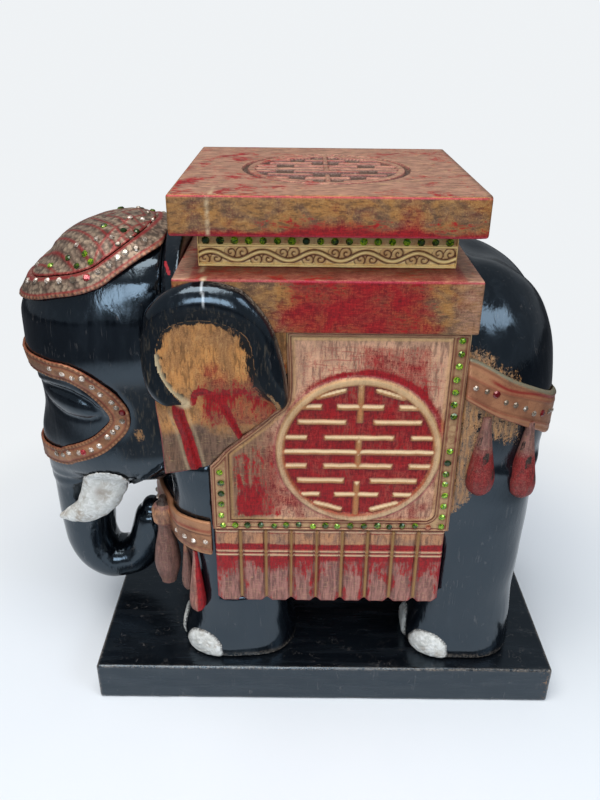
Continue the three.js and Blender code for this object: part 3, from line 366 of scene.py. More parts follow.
def skin(grid, values):
    """Points in millimetres and quads of the surface where the values are zero."""
    if grid.halved:
        values = np.concatenate([values, values[:, -2::-1]], axis=1)
    inside = values < 0
    corners = [(i, j, k) for i in (0, 1) for j in (0, 1) for k in (0, 1)]
    size = np.array(values.shape) - 1

    def corner(array, c):
        return array[c[0] : c[0] + size[0], c[1] : c[1] + size[1], c[2] : c[2] + size[2]]

    full = sum(corner(inside, c).astype(np.int8) for c in corners)
    cells = np.argwhere((full > 0) & (full < 8))
    number = np.full(size, -1, np.int64)
    number[tuple(cells.T)] = np.arange(len(cells))
    total = np.zeros((len(cells), 3))
    hits = np.zeros(len(cells))
    for a in corners:
        for axis in range(3):
            if a[axis]:
                continue
            b = tuple(1 if i == axis else a[i] for i in range(3))
            va = values[tuple((cells + a).T)]
            vb = values[tuple((cells + b).T)]
            crossed = (va < 0) != (vb < 0)
            t = np.where(crossed, va / np.where(crossed, va - vb, 1), 0)
            place = np.array(a, float) + t[:, None] * (np.array(b) - np.array(a))
            total += np.where(crossed[:, None], place, 0)
            hits += crossed
    points = grid.low + grid.step * (cells + total / hits[:, None])
    quads = []
    for axis in range(3):
        u, v = (axis + 1) % 3, (axis + 2) % 3
        low = [slice(1, -1)] * 3
        low[axis] = slice(0, -1)
        high = list(low)
        high[axis] = slice(1, None)
        changed = inside[tuple(low)] != inside[tuple(high)]
        at = np.argwhere(changed)
        at[:, u] += 1
        at[:, v] += 1
        one, other = np.eye(3, dtype=int)[u], np.eye(3, dtype=int)[v]
        ring = [at - one - other, at - other, at, at - one]
        quad = np.stack([number[tuple(c.T)] for c in ring], axis=1)
        outwards = inside[tuple(at.T)]
        quad[~outwards] = quad[~outwards][:, ::-1]
        quads.append(quad)
    return points, np.concatenate(quads)


# Plates: a relief on a flat back, drawn on a grid that is fitted to its outline


def plate(outline, low, high, step, height):
    """Points (u, v, height) and faces of a relief whose outline is a distance function."""
    us = np.arange(low[0], high[0] + step, step)
    vs = np.arange(low[1], high[1] + step, step)
    u, v = [a.copy() for a in np.meshgrid(us, vs, indexing="ij")]
    away = outline(u, v)
    middle = (away[:-1, :-1] + away[1:, :-1] + away[:-1, 1:] + away[1:, 1:]) / 4
    kept = middle < 0
    used = np.zeros((len(us) + 1, len(vs) + 1), int)
    for i in (0, 1):
        for j in (0, 1):
            used[i : i + kept.shape[0], j : j + kept.shape[1]] += kept
    used = used[: len(us), : len(vs)]
    border = (used > 0) & (used < 4)
    for _ in range(2):
        gu, gv = np.gradient(outline(u, v), step)
        slope = np.maximum(gu * gu + gv * gv, 0.3)
        near = np.where(border, outline(u, v) / slope, 0)
        near = np.clip(near, -step, step)
        u, v = u - near * gu, v - near * gv
    number = np.full(used.shape, -1)
    number[used > 0] = np.arange(int((used > 0).sum()))
    i, j = np.nonzero(kept)
    quads = np.stack([number[i, j], number[i + 1, j], number[i + 1, j + 1], number[i, j + 1]], 1)
    chosen = used > 0
    front = np.stack([u[chosen], v[chosen], height(u[chosen], v[chosen])], axis=1)
    edges = {}
    for quad in quads.tolist():
        for a, b in zip(quad, quad[1:] + quad[:1]):
            if (b, a) in edges:
                del edges[(b, a)]
            else:
                edges[(a, b)] = True
    count = len(front)
    rim = sorted({a for a, _ in edges})
    back_of = {a: count + k for k, a in enumerate(rim)}
    back = front[rim].copy()
    back[:, 2] = 0
    walls = [(b, a, back_of[a], back_of[b]) for a, b in edges]
    following = dict(edges.keys())
    caps = []
    while following:
        first = next(iter(following))
        loop = [first]
        step_to = following.pop(first)
        while step_to != first:
            loop.append(step_to)
            step_to = following.pop(step_to)
        caps.append([back_of[a] for a in reversed(loop)])
    return np.vstack([front, back]), quads.tolist() + walls + caps


# Boards: a lattice box whose lines are close together where there is detail


def spread(low, high, fine, coarse, edge, middle=None):
    """Places along a line: fine near both ends, and in the middle stretch if one is given."""
    stops = [(low, low + edge, fine), (low + edge, high - edge, coarse), (high - edge, high, fine)]
    if middle:
        a, b, step = middle
        stops[1:2] = [(low + edge, a, coarse), (a, b, step), (b, high - edge, coarse)]
    made = []
    for start, end, step in stops:
        count = max(1, int(math.ceil((end - start) / step)))
        made.extend(np.linspace(start, end, count, endpoint=False))
    return np.array(made + [high])


def board(xs, ys, zs, radius, flat_ends=False):
    """A box on the given lines, with its edges rounded. Its ends may be one flat face each."""
    nx, ny, nz = len(xs), len(ys), len(zs)

    def index(i, j, k):
        return (i * ny + j) * nz + k

    def side(rows, columns, at, flip):
        r, c = np.meshgrid(np.arange(rows - 1), np.arange(columns - 1), indexing="ij")
        r, c = r.ravel(), c.ravel()
        quad = np.stack([at(r, c), at(r + 1, c), at(r + 1, c + 1), at(r, c + 1)], 1)
        return quad[:, ::-1] if flip else quad

    faces = [
        side(ny, nz, lambda j, k: index(nx - 1, j, k), False),
        side(ny, nz, lambda j, k: index(0, j, k), True),
        side(nx, nz, lambda i, k: index(i, ny - 1, k), True),
        side(nx, nz, lambda i, k: index(i, 0, k), False),
    ]
    if not flat_ends:
        faces.append(side(nx, ny, lambda i, j: index(i, j, nz - 1), False))
        faces.append(side(nx, ny, lambda i, j: index(i, j, 0), True))
    quads = np.concatenate(faces)
    used, numbered = np.unique(quads, return_inverse=True)
    quads = numbered.reshape(quads.shape).tolist()
    i, rest = np.divmod(used, ny * nz)
    j, k = np.divmod(rest, nz)
    points = np.stack([xs[i], ys[j], zs[k]], 1)
    low = np.array([xs[0], ys[0], zs[0]]) + radius
    high = np.array([xs[-1], ys[-1], zs[-1]]) - radius
    core = np.clip(points, low, high)
    away = points - core
    length = np.linalg.norm(away, axis=1, keepdims=True)
    points = core + np.where(length > 0, away / np.maximum(length, 1e-9) * radius, 0)
    if flat_ends:
        loop = [(i, 0) for i in range(nx)] + [(nx - 1, j) for j in range(1, ny)]
        loop += [(i, ny - 1) for i in range(nx - 2, -1, -1)] + [(0, j) for j in range(ny - 2, 0, -1)]
        at = {int(n): place for place, n in enumerate(used)}
        quads.append([at[index(i, j, nz - 1)] for i, j in loop])
        quads.append([at[index(i, j, 0)] for i, j in reversed(loop)])
    return points, quads


# Turned pieces and tubes


def tube(rings):
    """Points and faces of rings of points, joined in turn and closed at both ends."""
    around = len(rings[0])
    points = np.concatenate(rings)
    faces = []
    for row in range(len(rings) - 1):
        for s in range(around):
            a, b = row * around + s, row * around + (s + 1) % around
            faces.append((a, b, b + around, a + around))
    last = (len(rings) - 1) * around
    faces.append(tuple(range(around - 1, -1, -1)))
    faces.append(tuple(last + s for s in range(around)))
    return points, facing_out(points, faces)


def ring(x, y, z, sides, reach_at):
    """A level ring of points round a place, each as far out as the reach at its angle."""
    made = []
    for s in range(sides):
        angle = 2 * math.pi * s / sides
        reach = reach_at(angle)
        made.append((x + reach * math.cos(angle), y + reach * math.sin(angle), z))
    return made


def merged(solids):
    """The points and faces of several solids as one."""
    points, faces, count = [], [], 0
    for own_points, own_faces in solids:
        points.append(own_points)
        faces += [tuple(i + count for i in face) for face in own_faces]
        count += len(own_points)
    return np.vstack(points), faces


def facing_out(points, faces):
    """The faces, turned over together if they look inwards."""
    volume = 0.0
    for count in {len(f) for f in faces}:
        corners = points[np.array([f for f in faces if len(f) == count])]
        for k in range(1, count - 1):
            volume += np.sum(corners[:, 0] * np.cross(corners[:, k], corners[:, k + 1]))
    return faces if volume > 0 else [tuple(reversed(f)) for f in faces]


# Objects


def mirror(points, faces):
    flipped = np.array(points, float)
    flipped[:, 1] *= -1
    return flipped, [tuple(reversed(f)) for f in faces]


def make(
    name, points, faces, material, slot, nodes, masks=None, sharp=None, normals=None, second=None
):
    """A piece that rides on the body, takes its finish from the material given and stands for CAD
    nodes.
    The slot is not used. The second is another material and which faces wear it."""
    mesh = bpy.data.meshes.new(name)
    faces = faces.tolist() if isinstance(faces, np.ndarray) else faces
    mesh.from_pydata((np.asarray(points) * MM).tolist(), [], faces)
    mesh.shade_smooth()
    if sharp is not None:
        mesh.set_sharp_from_angle(angle=math.radians(sharp))
    for mask, values in (masks or {}).items():
        layer = mesh.attributes.new(mask, "FLOAT", "POINT")
        layer.data.foreach_set("value", np.asarray(values, np.float32).ravel())
    if normals is not None:
        mesh.normals_split_custom_set_from_vertices(normals)
    mesh.materials.append(material)
    if second:
        mesh.materials.append(second[0])
        mesh.polygons.foreach_set("material_index", np.asarray(second[1], np.int32))
    piece = bpy.data.objects.new(name, mesh)
    bpy.context.scene.collection.objects.link(piece)
    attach(piece, "root")
    if nodes:
        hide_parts(*nodes)


def make_pair(name, points, faces, material, slot, node, masks=None, sharp=None, second=None):
    """The left piece and its mirrored twin. Where a name or node holds {}, the side goes there."""
    for side, (p, f) in (("left", (points, faces)), ("right", mirror(points, faces))):
        own_name, own_node = [t.format(side) if "{}" in t else f"{t}_{side}" for t in (name, node)]
        make(own_name, p, f, material, slot, [own_node], masks, sharp, second=second)


def make_flank(name, relief, back, look, slot, masks, sharp):
    """A relief and its mirrored twin on the flanks, with their flat backs at a distance from
    the middle. Gives the tree of the left one."""
    (u, v, height), faces = relief[0].T, relief[1]
    points = np.stack([u, -back - height, v], axis=1)
    faces = facing_out(points, faces)
    make_pair(name, points, faces, paints[look], slot, name, masks, sharp)
    return BVHTree.FromPolygons(points.tolist(), faces)


def vertex_normals(points, faces):
    quads = np.asarray(faces)
    across = points[quads[:, 2]] - points[quads[:, 0]]
    along = points[quads[:, 3]] - points[quads[:, 1]]
    normal = np.cross(across, along)
    total = np.zeros_like(points)
    for corner in range(4):
        np.add.at(total, quads[:, corner], normal)
    return total / np.maximum(np.linalg.norm(total, axis=1, keepdims=True), 1e-12)


def make_split(parts, points, quads, material, masks):
    """One skin shared between pieces: {name: (slot, nodes, which quads)}. Each is closed."""
    normals = vertex_normals(points, quads)
    for name, (slot, nodes, chosen) in parts.items():
        own = quads[chosen]
        used, numbered = np.unique(own, return_inverse=True)
        own = numbered.reshape(own.shape)
        following = {}
        starts, ends = own.ravel(), np.roll(own, -1, axis=1).ravel()
        links = Counter(zip(starts.tolist(), ends.tolist()))
        for (a, b), count in sorted(links.items()):
            open_edges = count - links.get((b, a), 0)
            if open_edges > 0:
                following.setdefault(a, []).extend([b] * open_edges)
        own_points, own_normals = points[used], normals[used]
        kept = {mask: values[used] for mask, values in masks.items()}
        faces = own.tolist()
        while following:
            first = min(following)
            loop = [first]
            while True:
                onwards = following[loop[-1]]
                step_to = onwards.pop()
                if not onwards:
                    del following[loop[-1]]
                if step_to == first:
                    break
                loop.append(step_to)
            start = len(own_points)
            own_points = np.vstack([own_points, own_points[loop]])
            own_normals = np.vstack([own_normals, own_normals[loop]])
            kept = {mask: np.append(values, values[loop]) for mask, values in kept.items()}
            faces.append([start + i for i in range(len(loop) - 1, -1, -1)])
        make(name, own_points, faces, material, slot, nodes, kept, normals=own_normals)


# Distances to the elephant's own forms


def superellipse(a, b, power):
    return (np.abs(a) ** power + np.abs(b) ** power) ** (1 / power) - 1


def upright_distance(g, size, front, back, across, power):
    """Distance to an upright form between two ends along x, from its floor to its height."""
    around = superellipse((g.x - (front + back) / 2) / ((back - front) / 2), across, power)
    top = g.z - size["floor"] - size["height"]
    return np.maximum(np.maximum(g.spaced(around), top), size["floor"] - g.z)


def leg_distance(g, which):
    up = (g.z - LEG["floor"]) / LEG["height"]
    front, back, wide, power = stations(leg_shares[which], up)
    front = LEG_XS[which] - front * LEG["length"]
    back = LEG_XS[which] + back * LEG["length"]
    across = (g.y + LEG["side"]) / (wide * LEG["width"] / 2)
    return upright_distance(g, LEG, front, back, across, power)


def chest_distance(g):
    away = [(axis - c) / r for axis, c, r in zip((g.x, g.y, g.z), CHEST["centre"], CHEST["radii"])]
    return g.spaced(np.sqrt(sum(a * a for a in away)) - 1)


def trunk_of_body_distance(g):
    along = (g.x - NECK) / BODY["length"]
    wide, low, high, power, dip = stations(body_shares, along)
    low, high = BODY["floor"] + low * BODY["height"], BODY["floor"] + high * BODY["height"]
    across = g.y / (wide * BODY["width"] / 2)
    middle = (low + high) / 2
    hollow = BODY["dip"] * dip * np.exp(-((across / spine_share) ** 2))
    half = (high - low) / 2 - np.where(g.z > middle, hollow, 0)
    barrel = g.spaced(superellipse(across, (g.z - middle) / half, power))
    barrel = np.maximum(barrel, g.x - RUMP)
    chest = chest_distance(g)
    return np.maximum(joined(barrel, chest, CHEST_BLEND), np.minimum(NECK - g.x, chest - 3))


def body_distance(g, trimmed=True):
    """The torso and legs together, and which of them is nearer."""
    trunk_part = trunk_of_body_distance(g)
    legs = np.minimum(leg_distance(g, "front"), leg_distance(g, "rear"))
    whole = joined(trunk_part, legs, LEG_BLEND)
    whole = whole + 0.45 * wobble(g.x, g.y, g.z, 46, 3)
    whole = np.maximum(whole, LEG["floor"] - g.z)
    if trimmed:
        pocket = np.maximum(box(g.x, tier_left - SEAM, tier_right + SEAM), BODY["saddle"] - g.z)
        whole = cut(whole, pocket)
        for outline in (cloth_outline, drape_outline, fringe_box):
            seat = outline_distance(outline, g.x, g.z) - SEAM
            whole = cut(whole, np.maximum(seat, g.y + BODY["side"]))
    return whole, legs - trunk_part


def head_distance(g):
    up = (g.z - HEAD["floor"]) / HEAD["height"]
    front, wide, power = stations(head_shares, up)
    closing = np.clip((up - crown_share) / (1 - crown_share), 0, 1)
    front = NECK - front * HEAD["length"]
    back = NECK + HEAD["back"] * (1 - closing * crown_closing_share)
    across = g.y / (wide * HEAD["width"] / 2)
    return upright_distance(g, HEAD, front, back, across, power)


def horn_distance(g, shares, size):
    """A swept horn whose path lies in an upright plane."""
    fine = np.linspace(0, 1, 8 * (len(shares) - 1) + 1)
    table = np.array(shares, float)
    along, down, thick, wide = [
        eased(np.linspace(0, 1, len(shares)), table[:, i], fine) for i in range(4)
    ]
    path = np.array(
        [size["root"] + along * size["reach"], size["top"] - down * size["drop"]]
    ).T
    away, run = line_distance(path, g.x, g.z)
    length = np.concatenate([[0], np.cumsum(np.hypot(*np.diff(path, axis=0).T))])
    half_thick = np.interp(run, length, thick) * size["thick"] / 2
    half_wide = np.interp(run, length, wide) * size["wide"] / 2
    across = (g.y + size.get("side", 0)) / half_wide
    return g.spaced(superellipse(away / half_thick, across, 2.2))


def eye_relief(x, y, z):
    """How far the eye, its lids and the crease over it stand out of the cheek."""
    u, v = x - EYE["centre"][0], z - EYE["centre"][1]
    turn = EYE["tilt"]
    u, v = u * math.cos(turn) - v * math.sin(turn), u * math.sin(turn) + v * math.cos(turn)
    share = np.clip(np.abs(u) / EYE["half_length"], 0, 1)
    lid = EYE["half_height"] * np.sqrt(1 - share**2) * (1 - 0.25 * share)
    beyond = np.maximum(np.abs(u) - EYE["half_length"], 0)
    away = np.hypot(np.maximum(np.abs(v) - lid, -99), beyond) * np.sign(np.abs(v) - lid)
    ball = 3.2 * np.sqrt(np.clip(1 - share**2 - (v / EYE["half_height"]) ** 2, 0, 1))
    rim = 1.5 * bell(away, 0.8, 1.3)
    crease = -1.3 * bell(away, 6.2, 1.5) * (v > 0)
    brow = 1.6 * bell(away, 10.5, 3.2) * (v > 0)
    under = -0.9 * bell(away, 4.5, 2.4) * (v < 0)
    return (ball * (away < 0) + rim + crease + brow + under) * smooth(-y, 25, 38)


cloth_length = CLOTH["right"] - CLOTH["left"]
cloth_height = CLOTH["top"] - CLOTH["floor"]
cloth_curve = placed(cloth_curve_shares, CLOTH["left"], cloth_length, CLOTH["floor"], cloth_height)
cloth_line = curve(cloth_curve, 6)
cloth_outline = [
    (CLOTH["left"], CLOTH["floor"]),
    (CLOTH["right"], CLOTH["floor"]),
    (CLOTH["right"], CLOTH["top"]),
    *[tuple(p) for p in cloth_line],
]
drape_length = CLOTH["left"] + 0.31 * cloth_length - SEAM - DRAPE["left"]
drape_height = DRAPE["top"] - DRAPE["floor"]


def on_drape(shares):
    return placed(shares, DRAPE["left"], drape_length, DRAPE["floor"], drape_height)


cloth_edge = cloth_line[::-1][5:-6]
drape_outline = on_drape(drape_shares) + [(x, z + 3 * SEAM) for x, z in cloth_edge]
fringe_box = [
    (FRINGE["left"], FRINGE["floor"]),
    (FRINGE["right"], FRINGE["floor"]),
    (FRINGE["right"], FRINGE["top"] + SEAM),
    (FRINGE["left"], FRINGE["top"] + SEAM),
]
tier_left = TABLE_X - TIER["length"] / 2
tier_right = TABLE_X + TIER["length"] / 2


def on_head(shares):
    return placed(shares, NECK, -HEAD["length"], HEAD["floor"], HEAD["height"])


strap_line = curve(on_head(strap_shares), 6)
strap_line[:, 1] -= 4.5 * smooth(strap_line[:, 0], -205, -240) * (strap_line[:, 1] > 265)
cap_border = curve(on_head(cap_border_shares), 6)
crupper_line = curve(
    placed(crupper_shares, NECK, BODY["length"], BODY["floor"], BODY["height"]), 6
)
ear_outline, hollow_outline = [
    curve(placed(shares, EAR["left"], EAR["length"], EAR["floor"], EAR["height"]), 6, True)
    for shares in (ear_shares, hollow_shares)
]


def above_line(points, u, v):
    """Distance to a line that runs towards +u, positive above it."""
    away, _ = line_distance(points, u, v)
    ordered = np.array(sorted(map(tuple, points)))
    return away * np.sign(v - np.interp(u, ordered[:, 0], ordered[:, 1]))


# Materials


class Paint:
    """A node material built a step at a time. Colours are sRGB shares written as in a picture."""

    def __init__(self, name):
        self.material = bpy.data.materials.new(name)
        self.material.use_nodes = True
        self.tree = self.material.node_tree
        self.shader = self.tree.nodes["Principled BSDF"]
        self.place = self.tree.nodes.new("ShaderNodeTexCoord").outputs["Object"]
        self.bumps = None

    def put(self, socket, value):
        if isinstance(value, bpy.types.NodeSocket):
            self.tree.links.new(value, socket)
        elif isinstance(value, (tuple, list)) and len(value) == 3 and socket.type == "RGBA":
            socket.default_value = (*[linear(c) for c in value], 1)
        else:
            socket.default_value = value

    def math(self, operation, a, b=0.0):
        node = self.tree.nodes.new("ShaderNodeMath")
        node.operation = operation
        self.put(node.inputs[0], a)
        self.put(node.inputs[1], b)
        return node.outputs[0]

    def times(self, a, b):
        return self.math("MULTIPLY", a, b)

    def plus(self, a, b):
        return self.math("ADD", a, b)

    def most(self, a, b):
        return self.math("MAXIMUM", a, b)

    def less(self, a, b):
        return self.math("SUBTRACT", a, b)

    def noise(self, size, detail=3, rough=0.55, distort=0.0, stretch=(1, 1, 1), shift=0.0):
        """Noise whose features are about size millimetres across, longer along a stretch."""
        mapping = self.tree.nodes.new("ShaderNodeMapping")
        self.put(mapping.inputs["Vector"], self.place)
        mapping.inputs["Scale"].default_value = [1 / s for s in stretch]
        mapping.inputs["Location"].default_value = [shift, shift * 0.7, shift * 1.3]
        node = self.tree.nodes.new("ShaderNodeTexNoise")
        self.put(node.inputs["Vector"], mapping.outputs[0])
        node.inputs["Scale"].default_value = 1 / (size * MM)
        node.inputs["Detail"].default_value = detail
        node.inputs["Roughness"].default_value = rough
        node.inputs["Distortion"].default_value = distort
        return node.outputs["Fac"]

    def scratches(self, size, stretch, width, shift=0.0):
        """Thin lines along a stretch, from where a long noise crosses its middle."""
        lines = self.noise(size, 2, 0.5, 0.4, stretch, shift)
        off = self.math("ABSOLUTE", self.less(lines, 0.5))
        return self.band(off, width, 0.0)

    def band(self, value, low, high):
        node = self.tree.nodes.new("ShaderNodeMapRange")
        node.interpolation_type = "SMOOTHSTEP"
        self.put(node.inputs["Value"], value)
        ends = (low, high) if low < high else (high, low)
        node.inputs["From Min"].default_value, node.inputs["From Max"].default_value = ends
        outs = (0.0, 1.0) if low < high else (1.0, 0.0)
        node.inputs["To Min"].default_value, node.inputs["To Max"].default_value = outs
        return node.outputs["Result"]

    def mask(self, name):
        node = self.tree.nodes.new("ShaderNodeAttribute")
        node.attribute_name = name
        return node.outputs["Fac"]

    def mix(self, share, a, b):
        node = self.tree.nodes.new("ShaderNodeMix")
        node.data_type = "RGBA"
        self.put(node.inputs["Factor"], share)
        self.put(node.inputs["A"], a)
        self.put(node.inputs["B"], b)
        return node.outputs["Result"]

    def flecked(self, colour, texture, low, high, share, tone):
        """The colour with a share of a tone over it, as far as a texture is past low to high."""
        return self.mix(self.times(self.band(texture, low, high), share), colour, tone)

    def masked(self, colour, mask, texture, low, high, tone):
        """The colour with a tone over it where a mask is, broken up by a texture."""
        return self.mix(self.times(self.mask(mask), self.band(texture, low, high)), colour, tone)

    def cover(self, coverage, texture, soft):
        """Where a rubbed layer lies: its coverage from 0 to 1, broken up by a texture."""
        return self.band(self.plus(coverage, texture), 1.0 - soft, 1.0 + soft)

    def bump(self, height, strength, distance):
        node = self.tree.nodes.new("ShaderNodeBump")
        node.inputs["Strength"].default_value = strength
        node.inputs["Distance"].default_value = distance * MM
        self.put(node.inputs["Height"], height)
        if self.bumps is not None:
            self.put(node.inputs["Normal"], self.bumps)
        self.bumps = node.outputs["Normal"]

    def done(self, colour, roughness, metallic=0.0, **fixed):
        self.put(self.shader.inputs["Base Color"], colour)
        self.put(self.shader.inputs["Roughness"], roughness)
        self.put(self.shader.inputs["Metallic"], metallic)
        for socket, value in fixed.items():
            self.shader.inputs[socket.replace("_", " ")].default_value = value
        if self.bumps is not None:
            self.put(self.shader.inputs["Normal"], self.bumps)
        return self.material


def linear(c):
    return c / 12.92 if c <= 0.04045 else ((c + 0.055) / 1.055) ** 2.4


PALE_GOLD = (0.84, 0.71, 0.50)
DULL_GOLD = (0.46, 0.35, 0.25)
CRIMSON = (0.68, 0.085, 0.11)
DEEP_RED = (0.36, 0.05, 0.07)
BLACK = (0.030, 0.042, 0.062)
# A blue tint for the lacquer's reflections: a painted reflection colour that stands in for bluish
# window light.
BLUE_SHEEN = (0.66, 0.84, 1.0, 1)
BACKDROP = (0.865, 0.89, 0.91, 1)


def lacquer(name, wear=0.0, way=(1, 1, 4)):
    """Glossy black lacquer: brushed on, scratched, with gold and red overspray where masked."""
    p = Paint(name)
    strokes = p.noise(9, 4, 0.6, 0.6, way)
    fine = p.noise(1.6, 3, 0.6, 0.2, way, 3.1)
    speck = p.noise(1.1, 4, 0.7, 0.3, shift=7.7)
    blotch = p.noise(13, 3, 0.6, shift=1.9)
    upright = p.noise(2.2, 4, 0.65, 0.4, (1, 1, 5), 11.0)
    black = p.mix(p.band(strokes, 0.4, 0.75), BLACK, (0.07, 0.085, 0.105))
    # Dust: pale grey specks, gathered in blotches.
    specks = p.times(p.band(speck, 0.66, 0.72), p.band(blotch, 0.5, 0.7))
    colour = p.mix(p.times(specks, 0.35), black, (0.42, 0.40, 0.38))
    line = p.times(p.scratches(7, (1, 1, 9), 0.012, 5.0), p.band(blotch, 0.52, 0.6))
    colour = p.mix(p.times(line, 0.2 + wear), colour, (0.50, 0.48, 0.47))
    flake = p.noise(2.0, 5, 0.75, 0.6, shift=14.0)
    broken = p.plus(p.times(flake, 0.75), p.times(blotch, 0.25))
    broken = p.plus(broken, p.times(upright, 0.2))
    gold = p.cover(p.mask("Gold"), broken, 0.05)
    gold = p.times(gold, p.band(p.mask("Gold"), 0.02, 0.2))
    leaf = p.mix(p.band(upright, 0.38, 0.66), DULL_GOLD, (0.68, 0.48, 0.28))
    leaf = p.flecked(leaf, speck, 0.55, 0.68, 0.6, PALE_GOLD)
    colour = p.mix(gold, colour, leaf)
    red = p.cover(p.mask("Red"), broken, 0.12)
    red = p.times(red, p.band(p.mask("Red"), 0.02, 0.2))
    colour = p.mix(p.times(red, 0.85), colour, CRIMSON)
    colour = p.masked(colour, "Wear", broken, 0.5, 0.75, (0.58, 0.53, 0.48))
    colour = p.mix(p.mask("Crack"), colour, (0.70, 0.71, 0.72))
    matt = p.mask("Matt")
    scuffs = p.times(matt, p.band(upright, 0.50, 0.74))
    colour = p.mix(p.times(scuffs, 0.7), colour, (0.36, 0.32, 0.26))
    p.bump(strokes, 0.35, 1.2)
    p.bump(fine, 0.10, 0.5)
    gloss = p.plus(p.times(p.band(strokes, 0.35, 0.8), 0.14), 0.10 + 0.9 * wear)
    rough = p.most(gloss, p.times(p.most(p.most(gold, red), matt), 0.55))
    p.put(p.shader.inputs["Specular IOR Level"], p.less(0.85, p.times(matt, 0.62)))
    # The specular tint paints a bluish cast into the lacquer's reflections.
    return p.done(colour, rough, Specular_Tint=BLUE_SHEEN)


def rubbed(name, lean, gold_tone, dull_tone, brown_tone, way=(1, 1, 9), level_share=0.25):
    """Crimson paint with gold rubbed over it. Lean is how far the gold covers it."""
    p = Paint(name)
    upright = p.noise(1.3, 5, 0.7, 0.3, (1, 1, 5), 9.0)
    level = p.noise(1.3, 5, 0.7, 0.3, (5, 5, 1), 2.0)
    speck = p.noise(1.1, 5, 0.8, 0.8, shift=5.0)
    cloud = p.noise(30, 4, 0.6, 0.5, shift=4.0)
    patch = p.noise(12, 3, 0.55, 0.8, [1 + (w - 1) / 8 for w in way], 12.0)
    streaks = p.noise(2.6, 4, 0.6, 0.3, [1 + (w - 1) / 2 for w in way], 15.0)
    planks = p.noise(1.8, 4, 0.65, 0.3, way, 6.0)
    crossed = p.plus(p.times(upright, 0.65 - level_share), p.times(level, level_share))
    hatch = p.plus(crossed, p.times(speck, 0.35))
    broken = p.plus(p.times(hatch, 1.1), p.times(p.less(cloud, 0.5), 1.1))
    red = p.mix(p.band(hatch, 0.38, 0.62), DEEP_RED, CRIMSON)
    gold = p.mix(p.band(patch, 0.35, 0.65), dull_tone, gold_tone)
    light = tuple(0.55 * a + 0.45 * b for a, b in zip(gold_tone, PALE_GOLD))
    gold = p.flecked(gold, speck, 0.50, 0.66, 0.8, light)
    dark = tuple(0.58 * c for c in dull_tone)
    gold = p.flecked(gold, hatch, 0.50, 0.38, 0.6, dark)
    gold = p.flecked(gold, streaks, 0.50, 0.36, 0.6, dark)
    gold = p.flecked(gold, streaks, 0.54, 0.70, 0.55, light)
    share = p.cover(p.plus(p.mask("Gold"), lean), broken, 0.2)
    colour = p.mix(share, red, gold)
    grain = p.mix(p.band(planks, 0.36, 0.62), tuple(0.68 * c for c in brown_tone), brown_tone)
    grain = p.flecked(grain, level, 0.52, 0.70, 0.35, PALE_GOLD)
    brown = p.band(p.plus(p.mask("Brown"), hatch), 0.66, 1.02)
    colour = p.mix(brown, colour, grain)
    broken = p.plus(broken, p.times(p.less(streaks, 0.5), 0.7))
    colour = p.mix(p.band(p.plus(p.mask("Red"), broken), 0.80, 1.0), colour, red)
    nicks = p.most(p.scratches(4, (8, 8, 1), 0.035, 8.0), p.scratches(4, (1, 1, 6), 0.03, 2.0))
    colour = p.mix(p.times(p.mask("Scratch"), nicks), colour, (0.64, 0.10, 0.14))
    # Black: the black ground where the paint is worn through or left off, and black painted into the
    # table top's recesses as painted shade.
    worn = p.band(p.plus(p.mask("Black"), upright), 1.0, 1.16)
    colour = p.mix(worn, colour, (0.06, 0.06, 0.065))
    # Ridge: pale gold on raised carving, partly gilding and partly a painted highlight.
    ridge = p.times(p.mask("Ridge"), p.plus(p.times(p.band(speck, 0.34, 0.52), 0.5), 0.45))
    colour = p.mix(ridge, colour, (0.78, 0.61, 0.38))
    colour = p.masked(colour, "Ochre", speck, 0.3, 0.5, (0.58, 0.44, 0.26))
    colour = p.masked(colour, "Pale", speck, 0.28, 0.46, (0.87, 0.78, 0.62))
    line = p.mix(p.band(speck, 0.35, 0.65), (0.62, 0.07, 0.16), (0.82, 0.28, 0.38))
    colour = p.mix(p.mask("Line"), colour, line)
    # Dark: painted shade in carved grooves and creases and down one side of some tassels, and elsewhere
    # a plain darker brown tone.
    specks = p.mix(p.band(speck, 0.45, 0.62), (0.22, 0.13, 0.11), (0.46, 0.40, 0.36))
    colour = p.mix(p.mask("Dark"), colour, specks)
    colour = p.masked(colour, "White", speck, 0.32, 0.5, (0.80, 0.70, 0.56))
    p.bump(upright, 0.3, 0.5)
    p.bump(speck, 0.35, 0.4)
    rough = p.plus(p.times(speck, 0.25), 0.36)
    return p.done(colour, rough, p.times(share, 0.15), Specular_IOR_Level=0.3)


def gilt(name, ground, pale, dark, shine=0.35, scale=0.0):
    """Gold leaf paint with dark red in its lines, over small scales if a scale size is given."""
    p = Paint(name)
    grain = p.noise(1.3, 4, 0.7, 0.8, shift=6.0)
    cloud = p.noise(12, 3, 0.6, shift=2.5)
    gold = p.mix(p.band(cloud, 0.36, 0.64), ground, pale)
    gold = p.flecked(gold, grain, 0.52, 0.72, 0.7, dark)
    gold = p.flecked(gold, grain, 0.44, 0.32, 0.6, pale)
    if scale:
        cells = p.tree.nodes.new("ShaderNodeTexVoronoi")
        p.put(cells.inputs["Vector"], p.place)
        cells.inputs["Scale"].default_value = 1 / (scale * MM)
        away = cells.outputs["Distance"]
        gold = p.flecked(gold, away, 0.35, 0.75, 0.75, tuple(0.5 * c for c in ground))
        gold = p.flecked(gold, away, 0.25, 0.05, 0.4, pale)
        p.bump(away, 0.8, 0.7)
    colour = p.masked(gold, "Ridge", grain, 0.2, 0.45, pale)
    colour = p.mix(p.mask("Dark"), colour, dark)
    colour = p.mix(p.mask("Red"), colour, (0.55, 0.10, 0.12))
    colour = p.masked(colour, "Silver", grain, 0.25, 0.5, (0.50, 0.48, 0.40))
    colour = p.masked(colour, "Copper", grain, 0.2, 0.5, (0.66, 0.42, 0.31))
    p.bump(grain, 0.35, 0.4)
    rough = p.plus(p.times(grain, 0.25), 0.3)
    return p.done(colour, rough, shine, Specular_IOR_Level=0.35)


